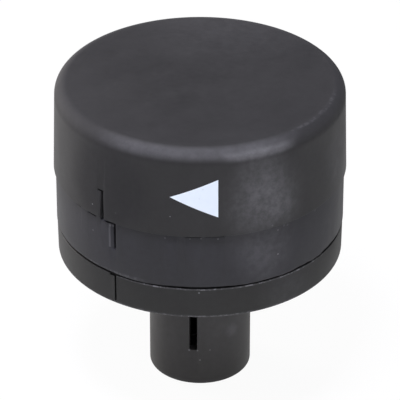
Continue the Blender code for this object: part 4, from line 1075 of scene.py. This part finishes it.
def makeScrew(node):
    # made head first along +Z, then set in its place
    kind = node.split("_")[0]
    spec = {**screwShape, **screwSpec[kind]}
    low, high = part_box(node)
    middle = middleOf(node)
    length = high.z - low.z
    head, tall = high.x - middle.x, spec["head"]
    shank, pitch = spec["shank"], spec["pitch"]
    start = length - spec["thread"]
    turns = int(spec["thread"] / pitch) - 1
    corners = [(0.0, 0.0), (head, 0.0, spec["edgeRound"] * tall)]
    corners += [(head, tall, spec["footRound"]), (shank, tall)]
    for turn in range(turns):
        groove = shank - spec["grooveDepth"] * pitch
        corners += [(shank, start + turn * pitch), (groove, start + (turn + 0.5) * pitch)]
    corners += [(shank, start + turns * pitch), (spec["tip"] * shank, length), (0.0, length)]
    screw = lathe(node, corners, spec["steps"], False)

    depth = spec["recessDepth"] * tall
    drive = spec["drive"]
    if drive == "hex":
        tools = [rods("hexRecess", spec["hexRadius"], -past, depth, [upright], 6)]
    else:
        wide = spec["recessHalf"] * head
        reach = spec["recessReach"][drive] * head
        ends = ((-reach, -wide, -past), (reach, wide, depth))
        tools = [blocksAt("recess", *ends, [angle]) for angle in spec["recessAngles"][drive]]
    carve(screw, *tools)
    softenEdges(screw, spec["edgeSoftening"])
    spot = Matrix.Translation((middle.x, middle.y, low.z if kind in headDown else high.z))
    if kind not in headDown:
        spot = spot @ Matrix.Rotation(math.pi, 4, "X")
    screw.data.transform(spot)
    fit(screw, node)


# Fixed contacts: copper strips bent down from the drum floor to push-on tabs in the stem

contactSpec = lengths(
    gauge=0.8, width=6.3, legOffset=7.1, jogTop=1.0, jogFoot=-2.0, bend=1.0, tip=1.0,
    screwOffset=8.9, screwHole=0.85, tabHole=0.85, tabHoleRise=4.2, edgeSoftening=0.08,
)


def makeFixedContact(side, turn):
    # bent on the right, then turned to its side
    spec = contactSpec
    low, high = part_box("fixed_contact_right")
    middle = high.z - 0.5 * spec["gauge"]
    tab = low.x + 0.5 * spec["gauge"]
    leg, bend = spec["legOffset"], spec["bend"]
    corners = [(high.x, middle), (leg, middle, bend), (leg, spec["jogTop"], bend)]
    corners += [(tab, spec["jogFoot"], bend), (tab, low.z + spec["tip"]), (tab, low.z)]
    strip = bentStrip("contactStrip", corners, spec["width"], spec["gauge"], spec["tip"])
    screwSpot = Matrix.Translation((spec["screwOffset"], 0.0, 0.0))
    hole = rods("contactScrewHole", spec["screwHole"], middle - past, middle + past, [screwSpot])
    tabSpot = Matrix.Translation((tab, 0.0, low.z + spec["tabHoleRise"])) @ quarterTurn("Y")
    carve(strip, hole, rods("tabHole", spec["tabHole"], -past, past, [tabSpot]))
    softenEdges(strip, spec["edgeSoftening"])
    strip.data.transform(place(turn))
    fit(strip, "fixed_contact_" + side)


# Detent leaves: flat steel springs with a bump that drops into the rotor's notches

leafSpec = {
    "angles": {"right": 135.0, "left": 315.0},
    **lengths(gauge=0.4, half=8.0, straight=17.95, bump=16.95, bumpFoot=1.9, bumpTop=0.7),
    **lengths(footBend=0.6, topBend=0.5, edgeSoftening=0.05),
}


def makeDetentLeaf(side):
    spec = leafSpec
    low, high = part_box("detent_leaf_" + side)
    arm = -spec["straight"]
    foot = (arm, spec["footBend"])
    top = (-spec["bump"], spec["topBend"])
    corners = [(-spec["half"], arm), (-spec["bumpFoot"], *foot), (-spec["bumpTop"], *top)]
    corners += [(spec["bumpTop"], *top), (spec["bumpFoot"], *foot), (spec["half"], arm)]
    leaf = bentStrip("detentLeaf", corners, high.z - low.z, spec["gauge"])
    softenEdges(leaf, spec["edgeSoftening"])
    onEdge = Matrix.Translation((0.0, 0.0, 0.5 * (low.z + high.z))) @ quarterTurn("X")
    leaf.data.transform(place(spec["angles"][side]) @ onEdge)
    fit(leaf, "detent_leaf_" + side)


# Contact bridge: a copper eye with two arms, and the coil springs that press it down

bridgeSpec = {
    "eyeSteps": 120,
    "endSteps": 180,
    "boreSteps": 90,
    **lengths(eyeRadius=10.8, eyeBore=6.6, armWidth=7.0, postHole=1.2, postOffset=8.7, edgeSoftening=0.14),
}
springSpec = {
    "wire": 0.2 * mm,
    "wireSides": 12,
    "turns": 2.5,
    "steps": 100,
}


def makeContactBridge():
    spec = bridgeSpec
    low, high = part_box("contact_bridge")
    half = 0.5 * spec["armWidth"]
    bridge = rods("contactBridge", spec["eyeRadius"], low.z, high.z, [upright], spec["eyeSteps"])
    armLow = (-half, -high.y - past, low.z)
    armHigh = (half, high.y + past, high.z)
    through = (low.z - past, high.z + past)
    carve(bridge, blocks("bridgeArms", [(armLow, armHigh, upright)]), operation="UNION")
    carve(bridge, rods("bridgeEnds", high.y, *through, [upright], spec["endSteps"]), operation="INTERSECT")
    posts = [place(angle, spec["postOffset"]) for angle in (0.0, 180.0)]
    tools = [rods("bridgeEye", spec["eyeBore"], *through, [upright], spec["boreSteps"])]
    tools += [rods("bridgePosts", spec["postHole"], *through, posts)]
    carve(bridge, *tools)
    softFit(bridge, "contact_bridge", spec["edgeSoftening"])


def makeContactSpring(node):
    spec = springSpec
    low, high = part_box(node)
    middle = middleOf(node)
    wire = spec["wire"]
    start = Matrix.Translation((high.x - middle.x - wire, 0.0, low.z + wire)) @ quarterTurn("X")
    shape = bmesh.new()
    bmesh.ops.create_circle(shape, segments=spec["wireSides"], radius=wire, matrix=start)
    rise = (0.0, 0.0, (high.z - low.z - 2.0 * wire) / spec["steps"])
    turn = {"axis": (0.0, 0.0, 1.0), "cent": (0.0, 0.0, 0.0), "angle": spec["turns"] * math.tau}
    bmesh.ops.spin(shape, geom=shape.verts[:] + shape.edges[:], steps=spec["steps"], dvec=rise, **turn)
    bmesh.ops.holes_fill(shape, edges=[edge for edge in shape.edges if edge.is_boundary])
    bmesh.ops.translate(shape, verts=shape.verts, vec=(middle.x, middle.y, 0.0))
    fit(newPiece(node, shape), node)


# Drive shaft and hub insert

shaftSpec = {
    "steps": 120,
    **lengths(
        radius=3.5, bore=2.2, rotorRadius=4.6, shoulder=20.3, collarTop=10.4, collarFoot=9.0, collarRound=0.2,
        knobFlat=3.05, knobFlatFoot=27.1, rotorFlat=3.9, flatGap=0.05, flatOver=0.3, chamfer=0.3,
        edgeSoftening=0.06,
    ),
}
insertSpec = {
    "teeth": 36,
    "crease": math.radians(20.0),
    **lengths(toothDepth=0.12, bore=2.05, grooveDepth=0.35, edge=0.12),
}


def makeDriveShaft():
    spec = shaftSpec
    low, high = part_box("drive_shaft")
    soft, collarRound = spec["chamfer"], spec["collarRound"]
    radius, rotorRadius = spec["radius"], spec["rotorRadius"]
    shoulder, collarTop, collarFoot = spec["shoulder"], spec["collarTop"], spec["collarFoot"]
    corners = [(radius, high.z, soft), (radius, shoulder), (rotorRadius, shoulder, collarRound)]
    corners += [(rotorRadius, collarTop), (high.x, collarTop, collarRound), (high.x, collarFoot, collarRound)]
    corners += [(radius, collarFoot), (radius, low.z, soft)]
    corners += [(spec["bore"], low.z, soft), (spec["bore"], high.z, soft)]
    shaft = lathe("driveShaft", corners, spec["steps"])
    reach = high.x + past
    flatFoot, flatTop = collarTop + spec["flatGap"], shoulder + spec["flatOver"]
    ends = [((spec["knobFlat"], -reach, spec["knobFlatFoot"]), (reach, reach, high.z + past))]
    ends += [((spec["rotorFlat"], -reach, flatFoot), (reach, reach, flatTop))]
    carve(shaft, blocks("shaftFlats", [(*pair, place(angle)) for pair in ends for angle in (0.0, 180.0)]))
    softFit(shaft, "drive_shaft", spec["edgeSoftening"])


def makeHubInsert():
    # every other column of the two bands is pushed in, which gives the knurl
    spec = insertSpec
    low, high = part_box("hub_insert")
    outside = high.x
    waist = outside - spec["grooveDepth"]
    third = (high.z - low.z) / 3.0
    slope = 0.5 * spec["grooveDepth"]
    edge = spec["edge"]
    corners = [(outside, high.z, edge), (outside, high.z - third), (waist, high.z - third - slope)]
    corners += [(waist, low.z + third + slope), (outside, low.z + third), (outside, low.z, edge)]
    corners += [(spec["bore"], low.z, edge), (spec["bore"], high.z, edge)]
    steps = 2 * spec["teeth"]
    shape = turned(bmesh.new(), outline(corners), steps)
    for vert in shape.verts:
        column = round(math.atan2(vert.co.y, vert.co.x) * steps / math.tau)
        radius = math.hypot(vert.co.x, vert.co.y)
        if column % 2 == 1 and radius > outside - 0.5 * edge:
            vert.co.xy *= (radius - spec["toothDepth"]) / radius
    fit(newPiece("hubInsert", shape, spec["crease"]), "hub_insert")


# Rotor: a wheel on the shaft, with four detent notches, two stop lugs and two posts for the springs

rotorSpec = {
    "steps": 192,
    "lugHalf": 5.0,
    "notchCount": 4,
    "notchAngle": 45.0,
    **lengths(
        radius=17.4, rimWidth=1.8, rimFoot=11.5, rimTop=18.0, webFoot=13.0, webTop=16.0,
        hubRadius=6.5, hubFoot=10.5, pilot=3.4, shaftRadius=4.7, shaftFlat=4.0, lugReach=19.7, lugInset=0.05,
        postRadius=1.0, postOffset=8.7, postFoot=8.75, notchRadius=1.9, notchOffset=18.2,
        inRound=0.5, outRound=0.25, edgeSoftening=0.10,
    ),
}


def makeRotor():
    spec = rotorSpec
    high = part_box("rotor")[1]
    rim, hub, pilot = spec["radius"], spec["hubRadius"], spec["pilot"]
    rimBore = rim - spec["rimWidth"]
    rimFoot, rimTop, hubFoot = spec["rimFoot"], spec["rimTop"], spec["hubFoot"]
    webFoot, webTop = spec["webFoot"], spec["webTop"]
    inside, out = spec["inRound"], spec["outRound"]
    corners = [(rim, rimTop, out), (rim, rimFoot, out), (rimBore, rimFoot, out), (rimBore, webFoot, inside)]
    corners += [(hub, webFoot, inside), (hub, hubFoot, out), (pilot, hubFoot), (pilot, high.z)]
    corners += [(hub, high.z, out), (hub, webTop, inside), (rimBore, webTop, inside), (rimBore, rimTop, out)]
    rotor = lathe("rotor", corners, spec["steps"])

    half = spec["lugReach"] * math.tan(math.radians(spec["lugHalf"]))
    lugLow = (-half, -spec["lugReach"], rimFoot + spec["lugInset"])
    lugHigh = (half, -rimBore - sink, rimTop - spec["lugInset"])
    posts = [place(angle, spec["postOffset"]) for angle in (0.0, 180.0)]
    adds = [blocksAt("stopLugs", lugLow, lugHigh, (90.0, 270.0))]
    adds += [rods("springPosts", spec["postRadius"], spec["postFoot"], webFoot + sink, posts)]
    carve(rotor, *adds, operation="UNION")
    notches = [place(angle, spec["notchOffset"]) for angle in spaced(spec["notchCount"], spec["notchAngle"])]
    tools = [flatted("rotorBore", spec["shaftRadius"], spec["shaftFlat"], hubFoot - past, high.z + past)]
    tools += [rods("rotorNotches", spec["notchRadius"], rimFoot - past, rimTop + past, notches)]
    carve(rotor, *tools)
    softFit(rotor, "rotor", spec["edgeSoftening"])


# Contact housing: a drum and floor with a contact track, stop ribs, leaf guides and screw holes

housingSpec = {
    "steps": 192,
    "roundPoints": 4,
    "ribAngles": (98.0, 278.0, -8.0, 172.0),
    "ribHalf": 2.5,
    "guideAngles": (135.0, 315.0),
    "seatAngles": (90.0, 270.0),
    "sealHeights": inMm(9.0, 11.4),
    "track": inMm(10.7, 16.3),
    "slotSpan": inMm(6.4, 7.8),
    "pocketSpan": inMm(10.06, 16.8),
    **lengths(
        drum=24.2, chamber=20.2, floorTop=6.3, sealBed=23.69, bushSeat=4.7, boss=6.2, bossTop=8.3,
        trackTop=7.7, ribRadius=18.6, ribTop=18.0, guideOffset=8.7, guideThickness=1.0, guideReach=1.2,
        slotHalf=3.35, slotOver=0.1, pocketFloor=6.2, contactHole=0.85, contactHoleFoot=4.9,
        coverHole=1.05, coverHoleDepth=7.5, ringHole=1.3, ringHoleShort=0.1, round=0.25, edgeSoftening=0.10,
    ),
}
coverScrews = ["cover_screw_1", "cover_screw_2", "cover_screw_3", "cover_screw_4"]
contactScrews = ["contact_screw_left", "contact_screw_right"]


def makeContactHousing():
    spec = housingSpec
    low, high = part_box("contact_housing")
    drum, chamber, bed, seat = spec["drum"], spec["chamber"], spec["sealBed"], spec["bushSeat"]
    boss, bossTop, floorTop, trackTop = spec["boss"], spec["bossTop"], spec["floorTop"], spec["trackTop"]
    soft = spec["round"]
    sealLow, sealHigh = spec["sealHeights"]
    trackIn, trackOut = spec["track"]
    corners = [(drum, high.z, soft), (drum, sealHigh), (bed, sealHigh), (bed, sealLow), (drum, sealLow)]
    corners += [(drum, floorTop, soft), (high.x, floorTop, soft), (high.x, low.z, soft), (seat, low.z, soft)]
    corners += [(seat, bossTop, soft), (boss, bossTop, soft), (boss, floorTop, soft)]
    corners += [(trackIn, floorTop, soft), (trackIn, trackTop, soft)]
    corners += [(trackOut, trackTop, soft), (trackOut, floorTop, soft)]
    corners += [(chamber, floorTop, 2.0 * soft), (chamber, high.z, soft)]
    housing = lathe("contactHousing", corners, spec["steps"], points=spec["roundPoints"])

    half = spec["ribRadius"] * math.tan(math.radians(spec["ribHalf"]))
    ribLow = (-half, -chamber - sink, floorTop - sink)
    adds = [blocksAt("stopRibs", ribLow, (half, -spec["ribRadius"], spec["ribTop"]), spec["ribAngles"])]
    guides = []
    half = 0.5 * spec["guideThickness"]
    for angle in spec["guideAngles"]:
        for middle in (-spec["guideOffset"], spec["guideOffset"]):
            wall = math.sqrt(chamber ** 2 - middle ** 2)
            guideLow = (middle - half, -wall - sink, floorTop - sink)
            guideHigh = (middle + half, spec["guideReach"] - wall, spec["ribTop"])
            guides.append((guideLow, guideHigh, place(angle)))
    carve(housing, *adds, blocks("leafGuides", guides), operation="UNION")

    half = spec["slotHalf"]
    slotIn, slotOut = spec["slotSpan"]
    pocketIn, pocketOut = spec["pocketSpan"]
    ends = [((-half, -slotOut, low.z - past), (half, -slotIn, floorTop + spec["slotOver"]))]
    ends += [((-half, -pocketOut, spec["pocketFloor"]), (half, -pocketIn, trackTop + past))]
    tools = [blocksAt("contactSeat", *pair, spec["seatAngles"]) for pair in ends]
    holes = [(spec["contactHole"], spec["contactHoleFoot"], floorTop + past, contactScrews)]
    holes += [(spec["coverHole"], high.z - spec["coverHoleDepth"], high.z + past, coverScrews)]
    holes += [(spec["ringHole"], low.z - past, trackTop - spec["ringHoleShort"], ringScrews)]
    tools += [rods("housingHoles", radius, foot, top, spotsOf(*nodes)) for radius, foot, top, nodes in holes]
    carve(housing, *tools)
    softFit(housing, "contact_housing", spec["edgeSoftening"])


# Drum cover: a lid that registers in the drum, with a boss for the upper bush and the shaft's seal

coverSpec = {
    "steps": 192,
    "roundPoints": 4,
    "register": inMm(18.5, 20.0),
    **lengths(
        foot=22.6, registerFoot=21.4, boss=7.0, bushSeat=4.7, sealSeat=5.7, sealFoot=23.1,
        screwHole=1.25, round=0.3, edgeSoftening=0.08,
    ),
}


def makeDrumCover():
    spec = coverSpec
    low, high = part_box("drum_cover")
    foot, boss, registerFoot = spec["foot"], spec["boss"], spec["registerFoot"]
    bushSeat, sealSeat, sealFoot = spec["bushSeat"], spec["sealSeat"], spec["sealFoot"]
    soft = spec["round"]
    registerIn, registerOut = spec["register"]
    corners = [(high.x, high.z, soft), (high.x, foot, 0.5 * soft), (registerOut, foot)]
    corners += [(registerOut, registerFoot, soft), (registerIn, registerFoot, soft), (registerIn, foot, soft)]
    corners += [(boss, foot, soft), (boss, low.z, soft), (bushSeat, low.z, 0.5 * soft), (bushSeat, sealFoot)]
    corners += [(sealSeat, sealFoot), (sealSeat, high.z, 0.5 * soft)]
    cover = lathe("drumCover", corners, spec["steps"], points=spec["roundPoints"])
    carve(cover, rods("coverHoles", spec["screwHole"], foot - past, high.z + past, spotsOf(*coverScrews)))
    softFit(cover, "drum_cover", spec["edgeSoftening"])


makePanelGasket()
for node, spec in roundSpec.items():
    makeRoundPiece(node, **spec)
for node in ["hub_screw"] + ringScrews + coverScrews + contactScrews:
    makeScrew(node)
for side, turn in (("right", 0.0), ("left", 180.0)):
    makeFixedContact(side, turn)
    makeDetentLeaf(side)
for end in ("front", "back"):
    makeContactSpring("contact_spring_" + end)
makeContactBridge()
makeDriveShaft()
makeHubInsert()
makeRotor()
makeContactHousing()
makeDrumCover()
print("inner pieces made")


# Stage, lights and camera

stageSpec = {
    "floorSize": 3.0,
    "floorColour": (0.9, 0.9, 0.9, 1.0),
    "floorRoughness": 0.9,
    "floorSpecular": 0.1,
    "whiteShare": 0.95,
    "foot": inMm(8.5, 9.4),
    "skyColour": (0.97, 0.955, 1.075, 1.0),
    "horizon": 0.37,
    "zenith": 0.30,
    "skyLow": 0.02,
    "skyHigh": 0.50,
}


def makeStage():
    spec = stageSpec
    shape = bmesh.new()
    bmesh.ops.create_grid(shape, x_segments=1, y_segments=1, size=spec["floorSize"])
    bmesh.ops.translate(shape, verts=shape.verts, vec=(0.0, 0.0, cadBox[0].z))
    floor = newPiece("floor", shape)
    if floor.data.polygons[0].normal.z < 0.0:
        floor.data.flip_normals()
    bench = newFinish("floorPaper")
    bench.set(baseColor=spec["floorColour"], roughness=spec["floorRoughness"], specular=spec["floorSpecular"])
    path = {kind: bench.node("ShaderNodeLightPath", out="Is %s Ray" % kind) for kind in
            ("Camera", "Glossy", "Transmission")}
    seen = path["Camera"] + path["Glossy"] + path["Transmission"]
    white = bench.node("ShaderNodeEmission", None, {"Color": (1.0, 1.0, 1.0, 1.0), "Strength": 1.0})
    paper = bench.shader.outputs[0]
    share = seen * spec["whiteShare"] * bench.between(bench.fromAxis(), *spec["foot"])
    mixed = bench.node("ShaderNodeMixShader", None, {0: share, 1: Wire(bench, paper), 2: white})
    clear = bench.node("ShaderNodeBsdfTransparent")
    back = bench.node("ShaderNodeNewGeometry", out="Backfacing")
    both = bench.node("ShaderNodeMixShader", None, {0: back, 1: mixed, 2: clear})
    bench.plug(bench.tree.nodes["Material Output"].inputs["Surface"], both)
    floor.data.materials.append(bench.owner)

    world = bpy.data.worlds.new("studio")
    bpy.context.scene.world = world
    sky = Bench(world, "Background", "Generated")
    level = sky.between(sky.part("Z"), spec["skyLow"], spec["skyHigh"], spec["horizon"], spec["zenith"])
    sky.set(color=spec["skyColour"], strength=level)


def aimed(name, data, spot, height):
    # puts a lamp or the camera in its spot and points it at the axis
    thing = bpy.data.objects.new(name, data)
    thing.location = spot
    aim = Vector((0.0, 0.0, height)) - thing.location
    thing.rotation_euler = aim.to_track_quat("-Z", "Y").to_euler()
    bpy.context.scene.collection.objects.link(thing)
    return thing


lampSpec = {
    "top": {"spot": (-0.06, -0.15, 0.6), "size": 0.14, "power": 3.6, "colour": (0.87, 0.86, 1.0)},
    "front": {"spot": (0.48, -0.88, 0.15), "size": 0.6, "power": 1.5, "colour": (1.0, 1.0, 1.0)},
    "left": {"spot": (-0.67, 0.40, 0.2), "size": 0.4, "power": 7.0, "colour": (1.0, 0.94, 0.92)},
    "right": {"spot": (0.7, -0.5, 0.3), "size": 0.4, "power": 0.4, "colour": (1.0, 1.0, 1.0)},
}
lampAim = 12.0 * mm


def makeLamps():
    for name, spec in lampSpec.items():
        light = bpy.data.lights.new(name, "AREA")
        light.size = spec["size"]
        light.energy = spec["power"]
        light.color = spec["colour"]
        aimed(name, light, spec["spot"], lampAim)


cameraSpec = {
    "azimuth": 7.7,
    "elevation": 30.38,
    "lens": 294.1,
    "sensor": 36.0,
    "clip": (0.01, 20.0),
    **lengths(distance=650.0, pivot=15.0, aim=9.65),
}


def makeCamera():
    spec = cameraSpec
    data = bpy.data.cameras.new("camera")
    data.lens = spec["lens"]
    data.sensor_width = spec["sensor"]
    data.clip_start, data.clip_end = spec["clip"]
    up = math.radians(spec["elevation"])
    flat = spec["distance"] * math.cos(up)
    height = spec["pivot"] + spec["distance"] * math.sin(up)
    spot = place(spec["azimuth"], flat, height).translation
    bpy.context.scene.camera = aimed("camera", data, spot, spec["aim"])


makeStage()
makeLamps()
makeCamera()
bpy.context.scene.view_settings.view_transform = "Standard"
print("stage, lamps and camera set")
